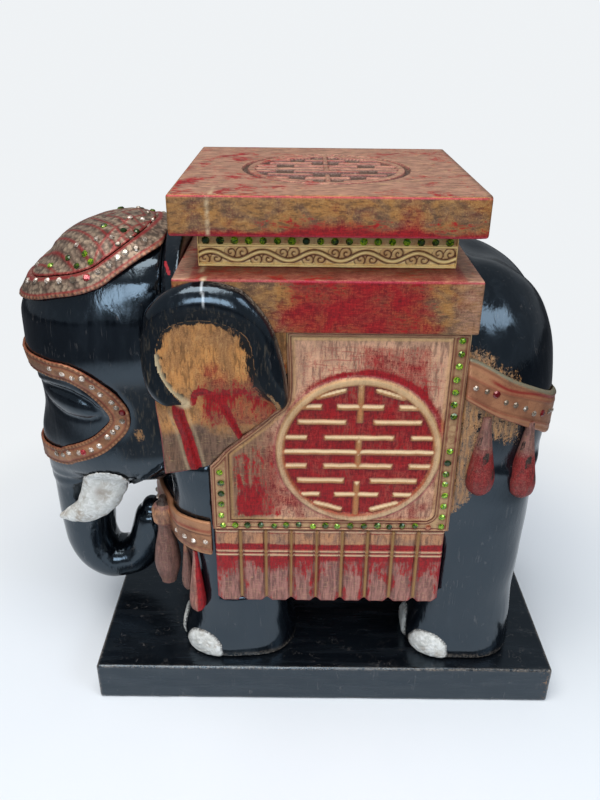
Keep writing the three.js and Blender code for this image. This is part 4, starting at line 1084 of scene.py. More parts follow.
def rough_white(name):
    """White paint put on thickly and rubbed grey in places."""
    p = Paint(name)
    daub = p.noise(4.5, 4, 0.6, 0.9)
    fine = p.noise(1.2, 3, 0.6, shift=3.0)
    cloud = p.noise(17, 2, 0.5, 0.6, shift=8.0)
    grey = p.mix(p.band(cloud, 0.45, 0.7), (0.80, 0.80, 0.78), (0.66, 0.62, 0.57))
    colour = p.mix(p.band(daub, 0.40, 0.68), grey, (0.90, 0.90, 0.89))
    colour = p.masked(colour, "Dark", fine, 0.35, 0.55, (0.16, 0.16, 0.17))
    colour = p.masked(colour, "Stain", daub, 0.3, 0.6, (0.56, 0.50, 0.45))
    p.bump(daub, 0.7, 1.3)
    p.bump(fine, 0.3, 0.5)
    return p.done(colour, 0.5)


def glass(name, dark, colour, glow):
    """A foil-backed glass stone: dark or bright by turns, with painted glints that make some facets
    paler.
    """
    p = Paint(name)
    facet = p.noise(2.2, 2, 0.5, 2.0)
    turn = p.noise(21, 2, 0.5, shift=3.0)
    tint = p.mix(p.band(turn, 0.44, 0.60), dark, colour)
    # Painted glints: pale patches on some facets.
    tint = p.mix(p.times(p.band(facet, 0.44, 0.60), p.band(turn, 0.36, 0.58)), tint, glow)
    return p.done(tint, 0.10, 0.3, Coat_Weight=0.6, Coat_Roughness=0.03)


def plain_wood(name):
    p = Paint(name)
    grain = p.noise(3, 4, 0.6, 0.6, (1, 1, 6))
    colour = p.mix(grain, (0.60, 0.42, 0.26), (0.76, 0.58, 0.39))
    return p.done(colour, 0.7)


def steel(name):
    p = Paint(name)
    brushed = p.noise(0.8, 3, 0.6, stretch=(6, 1, 1))
    return p.done(p.mix(brushed, (0.50, 0.51, 0.53), (0.70, 0.71, 0.72)), 0.35, 0.9)


paints = {
    "lacquer": lacquer("black_lacquer_paint"),
    "worn": lacquer("worn_lacquer_paint", 0.12, (7, 1, 1)),
    "cloth": rubbed(
        "cloth_paint", 0.22, (0.86, 0.66, 0.54), (0.70, 0.53, 0.44), (0.56, 0.41, 0.32)
    ),
    "drape": rubbed(
        "drape_paint", 0.22, (0.80, 0.55, 0.31), (0.62, 0.43, 0.27), (0.49, 0.37, 0.30)
    ),
    "slab": rubbed(
        "table_paint", 0.30, (0.66, 0.46, 0.25), (0.46, 0.34, 0.26), (0.72, 0.54, 0.45),
        (5, 1, 1), 0.4,
    ),
    "fringe": rubbed(
        "fringe_paint", 0.05, (0.74, 0.52, 0.38), (0.58, 0.43, 0.36), (0.65, 0.45, 0.41)
    ),
    "gold": gilt("frieze_paint", (0.90, 0.69, 0.40), (1.0, 0.88, 0.60), (0.33, 0.07, 0.07), 0.15),
    "strip": gilt("gem_strip_paint", (0.62, 0.48, 0.34), (0.73, 0.59, 0.43), (0.42, 0.06, 0.11), 0.2),
    "copper": gilt("strap_paint", (0.52, 0.36, 0.26), (0.70, 0.50, 0.36), (0.30, 0.12, 0.09), 0.3),
    "silver": gilt("cap_paint", (0.45, 0.37, 0.32), (0.64, 0.56, 0.48), (0.30, 0.15, 0.13), 0.3, 3.4),
    "white": rough_white("tusk_paint"),
    "green": glass("green_stone", (0.10, 0.20, 0.05), (0.22, 0.42, 0.06), (0.66, 0.80, 0.14)),
    "clear": glass("clear_stone", (0.42, 0.36, 0.30), (0.66, 0.58, 0.52), (1.0, 0.95, 0.90)),
    "ruby": glass("red_stone", (0.40, 0.03, 0.06), (0.60, 0.06, 0.10), (0.88, 0.35, 0.38)),
    "socket": glass("empty_socket", (0.45, 0.20, 0.12), (0.55, 0.26, 0.16), (0.70, 0.42, 0.28)),
    "wood": plain_wood("dowel_wood_paint"),
    "steel": steel("screw_steel_paint"),
}
for node_name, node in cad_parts.items():
    if "dowel" in node_name or "screw" in node_name:
        for material_slot in node.material_slots:
            material_slot.material = paints["wood" if "dowel" in node_name else "steel"]


# Torso and legs

grid = Grid((-154, -112, 31), (190, 0, 416), 1.8)
body_values, leg_lead = body_distance(grid)
points, quads = skin(grid, softened(body_values, 1))
centres = points[quads].mean(axis=1)
on_left = np.stack([centres[:, 0], -np.abs(centres[:, 1]), centres[:, 2]], axis=1)
cells = np.round((on_left - grid.low) / grid.step).astype(int)
cells = np.clip(cells, 0, np.array(leg_lead.shape) - 1)
is_leg = (leg_lead[tuple(cells.T)] < 0) & (centres[:, 2] < LEG["joint"])
parts = {"torso_skin": ("black_lacquer", ["torso"], ~is_leg)}
for place, x in LEG_XS.items():
    for side, sign in (("left", -1), ("right", 1)):
        middle_x = sum(LEG_XS.values()) / 2
        own = is_leg & ((centres[:, 0] < middle_x) == (place == "front"))
        own &= centres[:, 1] * sign > 0
        parts[f"leg_{place}_{side}_skin"] = ("black_lacquer", [f"leg_{place}_{side}"], own)
x, y, z = points.T
from_cloth = x - CLOTH["right"]
crupper_up = above_line(crupper_line, x, z)
overspray = 0.42 * smooth(crupper_up, 38, 14) * (crupper_up > 0) * smooth(from_cloth, 75, 30)
below = smooth(crupper_up, -52, -22) * (crupper_up < 0) * smooth(from_cloth, 62, 40)
overspray = np.maximum(overspray, 0.48 * below * smooth(z, 225, 262))
beside_cloth = smooth(from_cloth, 30, 8) * smooth(z, 178 + 1.2 * from_cloth, 200 + 1.2 * from_cloth)
overspray = np.maximum(overspray, 0.48 * beside_cloth * (crupper_up < 0))
overspray *= smooth(from_cloth, -8, -2) * smooth(np.abs(y), 50, 65)
foot = smooth(z, 47, 41) * 0.8
dab, _ = line_distance([(-124.5, 390), (-121.5, 385)], x, z)
red_patch = 0.6 * smooth(dab, 2.2, 1.0) * smooth(np.abs(y), 40, 52)
make_split(
    parts, points, quads, paints["lacquer"], {"Gold": overspray, "Wear": foot, "Red": red_patch}
)
body_tree = BVHTree.FromPolygons(points.tolist(), quads.tolist())

# Head and trunk


def face_distance(g):
    head = head_distance(g) - eye_relief(g.x, g.y, g.z)
    return head + 0.35 * wobble(g.x, g.y, g.z, 40, 8)


def face_and_trunk_distance(g):
    return joined(face_distance(g), horn_distance(g, trunk_shares, TRUNK), TRUNK_BLEND)


grid = Grid((-264, -84, 44), (-122, 0, 418), 1.5)
values = cut(face_and_trunk_distance(grid), chest_distance(grid) - CHEST_CLEARANCE)
values = np.maximum(values, grid.x - (NECK - SEAM))
points, quads = skin(grid, softened(values, 1))
low = points[quads].mean(axis=1)[:, 2] < HEAD["floor"]
x, y, z = points.T
strap_away, _ = line_distance(strap_line, x, z)
smear = bell(x, -155, 7) * bell(z, 247, 13)
smear = smear * smooth(strap_away, 9, 12) * smooth(-y, 25, 50) * 0.46
behind_strap = 0.8 * smooth(strap_away, 9, 15) * smooth(x, -180, -162) * smooth(z, 304, 288)
behind_strap = behind_strap * smooth(z, 218, 228) * smooth(np.abs(y), 30, 50)
make_split(
    {
        "head_skin": ("black_lacquer", ["head"], ~low),
        "trunk_skin": ("black_lacquer", ["trunk"], low),
    },
    points,
    quads,
    paints["lacquer"],
    {"Gold": smear, "Matt": behind_strap},
)
head_tree = BVHTree.FromPolygons(points.tolist(), quads.tolist())

# Tusks

grid = Grid((-244, -62, 148), (-164, -22, 216), 1.2, halved=False)
values = horn_distance(grid, tusk_shares, TUSK) + 0.45 * wobble(grid.x, grid.y, grid.z, 12, 5)
values = np.maximum(values, grid.z - TUSK["top"] + 1)
cheek = head_distance(grid)
lobe = (np.hypot((grid.x + 188) / 19, (grid.z - 198) / 12.5) - 1) * 12.5
lobe = np.maximum(lobe + 0.5 * wobble(grid.x, 0, grid.z, 9, 6), grid.y + 34)
values = np.minimum(values, rounded(cheek - 2.4, lobe, 1.2))
behind = np.minimum(cheek, horn_distance(grid, trunk_shares, TRUNK)) - CLEARANCE
points, quads = skin(grid, softened(cut(values, behind), 1))
x, y, z = points.T
stain = 0.8 * bell(x, -196, 5) * bell(z, 185, 7) * smooth(-y, 45, 52)
make_pair("tusk", points, quads.tolist(), paints["white"], "tusk_white", "tusk", {"Stain": stain})

# Gold and crimson on the ear's hollow and on the drape that it runs into

drape_valleys = [
    curve([(-115.5, 331), (-114, 293), (-109, 264), (-103, 233)], 6),
    curve([(-94, 331), (-90, 305), (-82, 295), (-75, 281), (-66, 258)], 6),
]
arch_line = curve(
    [(-103, 300), (-100.5, 308), (-95, 310), (-88, 306), (-81, 300), (-75, 283), (-65, 256)], 6
)
pale_line = curve([(-129, 340), (-126, 324), (-119, 311), (-109, 299)], 4)


def flank_paint(x, z):
    arch, _ = line_distance(arch_line, x, z)
    fold, _ = line_distance(drape_valleys[0], x, z)
    pale, _ = line_distance(pale_line, x, z)
    fold_red = smooth(fold, 5.5, 3) * smooth(z, 304, 290)
    red = np.maximum(smooth(arch, 2.7, 1.3), fold_red)
    haze = smooth(z, 342, 312) * smooth(x, -112, -88) * smooth(z, 268, 285)
    panel = bell(x, -107 + 0.25 * (300 - z), 6) * smooth(z, 292, 270)
    return {
        "Gold": 0.62 - 0.36 * haze - 0.3 * red,
        "Red": np.clip(0.9 * red + 0.30 * haze, 0, 1),
        "Brown": 0.22 * haze + 0.35 * panel + 0.5 * smooth(z, 288, 262),
        "Pale": 0.85 * smooth(pale, 6.5, 2.0) + 0.3 * bell(fold, 6.5, 1.2) * smooth(z, 300, 285),
    }


# Ears: a broad rolled rim round a dished hollow, on a root that runs to the head

grid = Grid((-144, -121, 280), (-29, -60, 398), 1.3, halved=False)
flat = outline_distance(ear_outline, grid.x, grid.z)
hollow = outline_distance(hollow_outline, grid.x, grid.z)


def ear_thickness(from_edge, in_hollow, z):
    rim = EAR["thick"] * (0.22 + 0.78 * domed(from_edge, 17)) - 3.4 * smooth(in_hollow, -12, -1)
    dish = 1.3 * smooth(in_hollow, 0, 2) + 4.6 * smooth(in_hollow, 0, 24)
    mouth = smooth(z, 322, 296) * smooth(in_hollow, -1, 6)
    return np.maximum((rim - dish) * (1 - mouth) + 0.9 * mouth, 0.9)


thick = ear_thickness(-flat, -hollow, grid.z)
slab_away = -grid.y - EAR["inner"]
leaf_values = rounded(flat, slab_away - thick, 1.6)
leaf_values = np.maximum(leaf_values, -slab_away)
root = rounded(box(grid.x, -131, -112), np.maximum(box(grid.z, 334, 373), -slab_away - 40), 6)
root = np.maximum(root, slab_away - 5)
values = joined(leaf_values, root, 6)
body_part = trunk_of_body_distance(grid)
head_part = head_distance(grid)
beside_tier = np.maximum(
    np.maximum(tier_left - SEAM - grid.x, BODY["saddle"] - grid.z), slab_away
)
for away in (body_part - CLEARANCE, head_part - CLEARANCE, beside_tier):
    values = cut(values, away)
points, quads = skin(grid, softened(values, 1))
x, y, z = points.T
in_hollow = -outline_distance(hollow_outline, x, z)
centres = points[quads].mean(axis=1)
on_hollow = -outline_distance(hollow_outline, centres[:, 0], centres[:, 2])
gilded = (on_hollow > 0.2) & (-centres[:, 1] > EAR["inner"] + 0.5)
ragged = 1.2 * wobble(x, y, z, 9, 12)
streak_depth = 7 + 7 * smooth(x, -85, -60)
unpainted = 0.28 + 0.5 * smooth(in_hollow + ragged, streak_depth, 0.0)
from_edge = -outline_distance(ear_outline, x, z)
masks = flank_paint(x, z)
masks["Black"] = np.where(in_hollow > -1, unpainted, 0) * smooth(z, 298, 306)
masks["Matt"] = smooth(in_hollow, -15, -8)
masks["Crack"] = smooth(np.abs(x + 89.8 + 0.12 * (z - 380)), 0.9, 0.4) * smooth(z, 376, 381)
masks["Wear"] = 0.7 * smooth(from_edge, 1.6, 0.5) * smooth(x, -95, -70) * smooth(z, 300, 330)
on_lacquer = smooth(in_hollow, -7, -1) * smooth(z, 322, 306) * smooth(x, -70, -58)
masks["Gold"] = np.where(in_hollow > 0, masks["Gold"], 0.55 * on_lacquer)
masks["Red"] = np.where(in_hollow > 0, masks["Red"], 0)
ear_faces = quads.tolist()
make_pair(
    "ear", points, ear_faces, paints["lacquer"], "black_lacquer", "ear", masks,
    second=(paints["drape"], gilded),
)

# Neck drapes: panels that rise towards two deep folds

def valley_offset(line, u, v):
    ordered = line[np.argsort(line[:, 1])]
    return u - np.interp(v, ordered[:, 1], ordered[:, 0])


def drape_height_at(u, v):
    away = outline_distance(drape_outline, u, v)
    height = DRAPE["thick"] + 7.6 * smooth(v, 262, 300) * smooth(u, -34, -52)
    for line in drape_valleys:
        q = valley_offset(line, u, v)
        fold = np.where(q < 0, 2.3 * np.exp(q / 11), 2.3 * smooth(q, 2.2, 0))
        fold = fold - 1.3 * np.where(q > 0, smooth(q, 0, 2.5) * np.exp(-q / 7), 0)
        height = height + fold * smooth(v, 302, 290)
    height = height + 0.4 * wobble(u, 0, v, 22, 31)
    return height - 2.4 * (1 - domed(-away, 3))


def drape_away(u, v):
    """The drape's outline, with a tongue between ear and cloth that reaches up to the tier."""
    tongue = np.maximum(box(u, -76, -29), box(v, 320, TIER["floor"] - SEAM))
    beside_cloth = SEAM - outline_distance(cloth_outline, u, v)
    return np.minimum(outline_distance(drape_outline, u, v) + 0.3, np.maximum(tongue, beside_cloth))


relief = plate(drape_away, (-133, 230), (-28, 355), 1.1, drape_height_at)
u, v, _ = relief[0].T
rim_away = -outline_distance(drape_outline, u, v)
masks = flank_paint(u, v)
masks["Line"] = 0.6 * smooth(rim_away, 1.3, 0.5) * smooth(v, 330, 320) * (u < -110)
make_flank("neck_drape", relief, CLOTH["inner"], "drape", "red_gold", masks, 50)


# Roundels: a ring filled with a fret of bars


def fret_distance(u, v, radius):
    """Distance to the ring and bars of a roundel, negative on them."""
    half = ROUNDEL["bar"] / 2
    reach = np.hypot(u, v)
    best = box(reach, radius - ROUNDEL["ring"], radius)
    bars = [(np.abs(u), np.abs(v), span) for span in spine_bar_shares]
    for up, spans in fret_shares:
        bars += [(np.abs(np.abs(v) - up * radius), np.abs(u), span) for span in spans]
    for across, run, (start, end) in bars:
        along = box(run, start * radius if start else -1, end * radius)
        best = np.minimum(best, np.maximum(across - half, along))
    slant = [(a * radius, b * radius) for a, b in slant_shares]
    away, _ = line_distance(slant, np.abs(u), np.abs(v))
    return np.minimum(best, away - half)


# Saddle cloths with their gem borders


def cloth_away(u, v):
    return outline_distance(cloth_outline, u, v)


def field_away(u, v):
    frame_box = np.maximum(
        box(u, FIELD["left"], FIELD["right"]), FIELD["floor"] - v
    )
    corner = np.hypot(np.maximum(u - FIELD["right"] + 8, 0), np.maximum(FIELD["floor"] + 8 - v, 0))
    return np.maximum(np.maximum(frame_box, corner - 8), cloth_away(u, v) + FIELD["margin"])


centre_u, centre_v = ROUNDEL["centre"]


def cloth_fret(u, v, drop=0.0):
    """Distance to the fret of the cloth's roundel, as if it were lowered by the drop."""
    return fret_distance(u - centre_u, v - centre_v + drop, ROUNDEL["radius"])


def cloth_relief(u, v):
    away, field = cloth_away(u, v), field_away(u, v)
    height = CLOTH["face"] - CLOTH["inner"] - 0.9 * smooth(-away, 1.4, 0)
    height = height + CLOTH["field"] * smooth(field, 0.5, -0.6) + 0.7 * bell(field, -1.7, 0.9)
    inside = smooth(field, 0.6, -0.4)
    height = height + ROUNDEL["relief"] * domed(-cloth_fret(u, v), 1.9) * inside
    return height + 0.25 * wobble(u, 0, v, 18, 41) * inside


relief = plate(cloth_away, (-94, 180.3), (98, 353.7), 0.95, cloth_relief)
u, v, _ = relief[0].T
field, away = field_away(u, v), cloth_away(u, v)
fret = cloth_fret(u, v)
reach = np.hypot(u - centre_u, v - centre_v)
in_ring = smooth(reach, ROUNDEL["radius"] - 3, ROUNDEL["radius"] - 6)
on_field = smooth(field, 0.4, -0.4)
bars = smooth(fret, 0.3, -0.5)
lower_left = smooth(u, -12, -58) * smooth(v, 276, 244)
near_ring = bell(reach, 66.5, 2.6) * smooth(v, 262, 296) * smooth(u, -40, -5)
scratched = bell(reach, 76, 20) * smooth(v, 285, 312) * smooth(v, 349, 340)
red_field = smooth(u, 16, 24) * smooth(u, 78, 66) * smooth(v, 296, 306) * smooth(v, 348, 340)
red_field = red_field * smooth(reach, 64, 68)
# Painted highlight: the lower half of each bar of the fret is painted pale, as if lit, while its upper
# half stays darker.
bar_shade = 1.2
bar_highlight = smooth(cloth_fret(u, v, -bar_shade) - cloth_fret(u, v, bar_shade), -0.2, -1.4)
in_bars = bars * (reach < ROUNDEL["radius"] - ROUNDEL["ring"])
margin = smooth(field, -1, -7) * on_field
top_edge = smooth(-away, 6.5, 1.5) * smooth(v, 343, 348)
bright = smooth(v, 215, 290)
masks = {
    # Ridge: pale gold on the raised bars, ring and bead and along the top edge, paler higher up, partly
    # gilding and partly a painted highlight.
    "Ridge": np.clip(bars * on_field * np.where(in_bars, 0.6, 0.26 + 0.36 * bright)
                     + 0.5 * bell(field, -1.6, 1.2) + top_edge, 0, 1),
    "Pale": np.clip(0.85 * in_bars * bar_highlight * on_field
                    + 0.45 * bell(fret, -2.2, 1.0) * (1 - in_ring) * on_field
                    + 0.4 * top_edge, 0, 1),
    "Red": (1 - bars) * np.clip(0.275 * in_ring + 0.36 * near_ring + 0.29 * red_field
                                + 0.37 * lower_left * margin, 0, 0.95) * on_field,
    "Scratch": 0.55 * scratched * smooth(u, -50, 0) * (1 - bars) * margin,
    "Gold": 0.34 + 0.2 * smooth(v, 290, 330) - 0.18 * lower_left * margin
    - 0.30 * in_ring - 0.3 * near_ring - 0.16 * red_field
    - 0.12 * scratched * smooth(u, -45, -10) * smooth(v, 306, 322),
    "Line": 0.5 * bell(fret, 1.2, 0.6) * on_field * (reach > ROUNDEL["radius"]),
    # Dark: painted shade along the foot of each bar and of the raised field's edge.
    "Dark": 0.35 * bell(fret, 0.7, 0.5) * on_field + 0.4 * bell(field, 0.6, 0.5),
    "Brown": 0.30 * (1 - on_field) + 0.55 * (1 - in_ring) * on_field * smooth(u, -20, -70),
}
make_flank("saddle_cloth", relief, CLOTH["inner"], "cloth", "red_gold", masks, 55)


def strip_away(u, v):
    return np.maximum(cloth_away(u, v) + 1.2, SEAM - field_away(u, v))


def strip_relief(u, v):
    inward = -strip_away(u, v)
    return 0.9 + 0.55 * bell(inward, 1.0, 0.55) - 0.5 * bell(inward, 2.1, 0.5) + 0.3 * smooth(
        inward, 2.6, 3.4
    )


relief = plate(strip_away, (-93, 181), (97, 353), 0.8, strip_relief)
u, v, _ = relief[0].T
inward = -strip_away(u, v)
row_z, right_x, left_x = 186.1, 91.05, -86.05
rng = np.random.default_rng(17)
row = [(x, row_z) for x in np.linspace(left_x, right_x, 18)]
right_column = [(right_x, z) for z in np.linspace(row_z + 9.8, 348.5, 16)]
left_column = [(left_x, z) for z in np.linspace(row_z + 9.6, 236, 5)]
stone_places = row + right_column + left_column
stone_places = [(x + rng.uniform(-0.8, 0.8), z + rng.uniform(-0.8, 0.8)) for x, z in stone_places]
empty_places = [stone_places[16]]
bare_places = stone_places[25:27]
near_stone = np.min([np.hypot(u - x, v - z) for x, z in stone_places], axis=0)
masks = {
    "Dark": np.maximum(bell(inward, 2.1, 0.55), bell(inward, 0.2, 0.5)) * 0.9
    + 0.35 * bell(near_stone, 3.2, 0.7),
    "Ridge": bell(inward, 1.1, 0.5) * 0.7,
}
masks["Dark"] = np.clip(masks["Dark"], 0, 1)
strip_tree = make_flank(
    "gem_border", relief, CLOTH["face"] + SEAM, "strip", "gem_strip", masks, 60
)

# Fringes: flaps with a double ridge between them

flap_pitch = (FRINGE["right"] - FRINGE["left"]) / FRINGE["flaps"]
fringe_cords = (178.2, 158.3, 154.6)
cord_groove = 156.5


def flap_lines(u):
    """Distance to the nearest line between flaps, and whether a ridge lies on it."""
    share = (u - FRINGE["left"]) / flap_pitch
    line = np.round(share)
    return np.abs(share - line) * flap_pitch, (line > 0) & (line < FRINGE["flaps"])


def fringe_away(u, v):
    sides = np.maximum(box(u, FRINGE["left"], FRINGE["right"]), box(v, FRINGE["floor"], FRINGE["top"]))
    from_line, _ = flap_lines(u)
    notch = (FRINGE["notch"] - from_line - (v - FRINGE["floor"])) * 0.7
    return np.maximum(sides, notch)


def fringe_relief(u, v):
    from_line, inner_line = flap_lines(u)
    ribs = 1.7 * np.sqrt(np.clip(1 - (from_line / 1.35) ** 2, 0, 1))
    ribs = (ribs - 0.8 * bell(from_line, 2.1, 0.6)) * inner_line
    ribs = ribs * smooth(v, FRINGE["floor"] + 3, FRINGE["floor"] + 9)
    top_cord, upper_cord, lower_cord = fringe_cords
    level = 0.45 * bell(v, top_cord, 0.8) + 0.6 * bell(v, upper_cord, 0.9)
    level = level + 0.6 * bell(v, lower_cord, 0.9)
    level = level - 0.5 * bell(v, cord_groove, 0.7) - 0.5 * bell(v, 160.6, 0.9)
    crown = 0.7 * (1 - (2 * from_line / flap_pitch) ** 2)
    edge = smooth(-fringe_away(u, v), 0, 1.6)
    return FRINGE["thick"] - 1.2 + 1.2 * edge + ribs + level - 0.35 + crown * 0.5 * smooth(v, 150, 120)


relief = plate(fringe_away, (-92.5, 105), (95, 180), 0.9, fringe_relief)
u, v, _ = relief[0].T
from_line, inner_line = flap_lines(u)
edge = -fringe_away(u, v)
flap_middle = smooth(from_line, 3, 8)
rib = smooth(from_line, 1.5, 1.0) * inner_line
level_lines = sum(bell(v, cord, 0.7) for cord in fringe_cords)
masks = {
    "Ochre": rib,
    "Pale": np.clip(0.9 * level_lines * (1 - rib), 0, 1),
    # Dark: painted shade in the grooves beside the ribs and in the cord groove, and a dark line along
    # the top edge under the cloth.
    "Dark": 0.55 * np.clip(
        1.2 * bell(from_line, 2.2, 0.6) * inner_line + 0.5 * bell(v, 180, 1)
        + 0.5 * bell(v, cord_groove, 0.6) * (1 - rib), 0, 1
    ),
    "Red": smooth(v, 153, 151) * np.maximum(0.40 * smooth(v, 118, 146), 0.33 * (1 - flap_middle))
    + 0.6 * bell(v, 162.5, 1.9),
    "Gold": 0.62 * smooth(v, 164, 168) * smooth(v, 178, 175) + 0.14
    + 0.42 * smooth(v, 136, 116) * flap_middle,
    "Brown": 0.48 * smooth(v, 152, 146),
    "Line": 0.5 * smooth(edge, 1.2, 0.4) * smooth(v, 176, 172),
}
make_flank("cloth_fringe", relief, CLOTH["inner"], "fringe", "crimson", masks, 55)


# Toenails: rough white ovals on the front of each foot

nail_sides = {"outer": 1, "front": 0, "inner": -1}
nail_spread = 1.1
nail_top = NAIL["height"] * 1.14


def nail_surface(length, u, v):
    """Distance to the outline of a nail whose foot is at v = 0."""
    wide = length / 2 * (1 + 0.03 * wobble(u, 0, v, 14, 61))
    low = nail_top * 0.36
    tall = np.where(v > low, nail_top - low, low * 1.6)
    away = np.sqrt((u / wide) ** 2 + ((v - low) / tall) ** 2) - 1
    return np.maximum(away * np.minimum(wide, nail_top * 0.6), 0.4 - v)


for place, leg_x in LEG_XS.items():
    front, back, wide, power = leg_shares[place][1][1:]
    middle = leg_x + (back - front) / 2 * LEG["length"]
    half_x = (front + back) / 2 * LEG["length"]
    half_y = wide * LEG["width"] / 2
    for name, side in nail_sides.items():
        angle = math.pi - side * NAIL["turn"]
        along, out = math.cos(angle), -math.sin(angle)
        reach = 1 / (abs(along / half_x) ** power + abs(out / half_y) ** power) ** (1 / power)
        foot_x, foot_y = middle + along * reach, -LEG["side"] + out * reach
        lean_x = abs(along * reach / half_x) ** (power - 1) * math.copysign(1 / half_x, along)
        lean_y = abs(out * reach / half_y) ** (power - 1) * math.copysign(1 / half_y, out)
        size = math.hypot(lean_x, lean_y)
        lean_x, lean_y = lean_x / size, lean_y / size
        length = nail_spread * (NAIL["length"] if side else NAIL["front"])

        def nail_height(u, v, length=length):
            dome = NAIL["thick"] * domed(-nail_surface(length, u, v), 4.5)
            return dome * 0.9 + 0.22 * wobble(u, 0, v, 5, 62)

        half = length / 2 + 1.5
        flat, faces = plate(
            lambda u, v, length=length: nail_surface(length, u, v),
            (-half, 0), (half, nail_top + 1), 1.0, nail_height,
        )
        u, v, height = flat.T
        outwards = Vector((lean_x, lean_y, 0))
        shell = np.zeros_like(flat)
        for k, (du, dv, dh) in enumerate(flat.tolist()):
            start = Vector((foot_x - lean_y * du, foot_y + lean_x * du, LEG["floor"] + dv))
            start += outwards * 20
            hit, _, _, _ = body_tree.ray_cast(start, -outwards, 60)
            base = hit if hit else start - outwards * 20
            base.z = start.z
            shell[k] = base + outwards * (max(dh, 0.25) if dh else -0.35)
        masks = {"Dark": smooth(-nail_surface(length, u, v), 1.5, 0.3)}
        faces = facing_out(shell, faces)
        node = f"toenail_{place}_{{}}_{name}"
        make_pair(node + "_paint", shell, faces, paints["white"], "tusk_white", node, masks, 60)


# Harness bands: shells that stand off the skin


def near_skin(grid, rough_distance, tree, edge, reach=6.5):
    """Distance to a skin, measured from its mesh wherever a band could be."""
    shape = np.broadcast(grid.x, grid.y, grid.z).shape
    values = np.clip(np.broadcast_to(rough_distance, shape), -reach, reach)
    close = (np.abs(values) < reach) & (np.broadcast_to(edge, values.shape) < 3)
    for i, j, k in np.argwhere(close).tolist():
        place = Vector((grid.x[i, 0, 0], grid.y[0, j, 0], grid.z[0, 0, k]))
        hit, normal, _, away = tree.find_nearest(place)
        values[i, j, k] = away if (place - hit).dot(normal) > 0 else -away
    return values


def band_mesh(grid, skin_distance, thick, edge, radius=1.2):
    """The mesh of a band of the given thickness on a skin, cut to an edge distance."""
    outer = rounded(skin_distance - thick, edge, radius)
    return skin(grid, softened(np.maximum(outer, SEAM - skin_distance), 1))


def make_band(node, points, quads, look, masks):
    """A harness band. Gives its tree, for the stones on it."""
    make(node + "_skin", points, quads, paints[look], "band_bronze", [node], masks, 50)
    return BVHTree.FromPolygons(points.tolist(), quads.tolist())


def lattice(p, places, width):
    """Cords of a width, at each of the places."""
    return np.max([bell(p, place, width) for place in places], axis=0)


bead_pitch = 3.6


def beads_along(run, level=0.5):
    """Beads along a line: 1 at their tops, and the level on average."""
    return level + (1 - level) * np.cos(2 * math.pi * run / bead_pitch)


# Cheek strap, with a beaded edge

grid = Grid((-262, -84, 203), (-128, 0, 324), 0.85)
line_away, strap_run = line_distance(strap_line, grid.x, grid.z)
edge = np.maximum(line_away - STRAP["width"] / 2, grid.x - NECK + SEAM)
skin_away = near_skin(grid, face_and_trunk_distance(grid), head_tree, edge)
relief = 0.7 * bell(line_away, 6.9, 0.9) * beads_along(strap_run, 0.6)
relief = relief - 0.5 * bell(line_away, 5.4, 0.6)
points, quads = band_mesh(grid, skin_away - relief, STRAP["thick"] - 1, edge)
x, y, z = points.T
line_away, strap_run = line_distance(strap_line, x, z)
beads = beads_along(strap_run)
masks = {
    "Dark": np.clip(0.8 * bell(line_away, 5.3, 0.6)
                    + 0.75 * bell(line_away, 7.0, 0.9) * (1 - beads), 0, 1),
    "Red": np.clip(0.45 * smooth(line_away, 7.7, 8.3) + 0.45 * bell(line_away, 4.3, 0.6), 0, 1),
    "Ridge": bell(line_away, 7.0, 0.8) * beads,
}
strap_tree = make_band("face_strap", points, quads, "copper", masks)

# Cap and the band along its lower edge

grid = Grid((-252, -80, 350), (-127, 0, 419), 0.95)
above = above_line(cap_border, grid.x, grid.z)
cap_region = np.maximum(-above, grid.x - NECK + SEAM)
skin_away = near_skin(grid, face_distance(grid), head_tree, cap_region)
line_places = [-252, -240, -228, -216, -204, -192, -179, -166]
cross_places = [-236, -222, -148, -137]
_, border_run = line_distance(cap_border, grid.x, grid.z)
band_relief = 0.8 * bell(above, 1.5, 0.9) * beads_along(border_run, 0.55)
band_relief = band_relief + 0.5 * bell(above, 11.8, 0.8)
band_edge = np.maximum(np.maximum(-above, above - CAP["band"]), grid.x - NECK + SEAM)
points, quads = band_mesh(grid, skin_away - band_relief, CAP["band_thick"], band_edge, 0.5)
x, y, z = points.T
above_here = above_line(cap_border, x, z)
_, border_run = line_distance(cap_border, x, z)
beads = beads_along(border_run)
masks = {
    "Copper": bell(above_here, 1.7, 1.0) * beads,
    "Red": np.clip(0.85 * np.maximum(bell(above_here, 3.4, 0.7), bell(above_here, 12.8, 0.9))
                   + 0.7 * smooth(above_here, 0.9, 0.3), 0, 0.9),
    "Dark": 0.7 * bell(above_here, 1.7, 1.0) * (1 - beads),
}
band_tree = make_band("cap_band", points, quads, "silver", masks)


def cap_cords(x, y, width):
    """The cords that slant over the cap, of the given width, and the few that cross them."""
    slanted = lattice(x - 0.84 * np.abs(y), line_places, width)
    return np.maximum(slanted, lattice(x + 0.5 * np.abs(y), cross_places, 1.1))


cords = np.maximum(cap_cords(grid.x, grid.y, 1.1), bell(above, CAP["band"] + 1.2, 1.1))
cap_edge = np.maximum(CAP["band"] + 0.05 - above, grid.x - NECK + SEAM)
points, quads = band_mesh(grid, skin_away - 0.6 * cords, CAP["thick"], cap_edge, 0.5)
x, y, z = points.T
slanted = x - 0.84 * np.abs(y)
above_here = above_line(cap_border, x, z)
border_cord = smooth(above_here, CAP["band"] + 2.4, CAP["band"] + 1.6)
cords = np.maximum(cap_cords(x, y, 1.15), border_cord)
masks = {
    "Red": 0.75 * cords,
    "Dark": 0.65 * np.clip(lattice(slanted, line_places, 2.2) - 0.6 * cords, 0, 1),
    "Ridge": 0.35 * lattice(slanted, [p + 6 for p in line_places], 1.6),
}
cap_tree = make_band("head_cap", points, quads, "silver", masks)

# Crupper band round the haunches


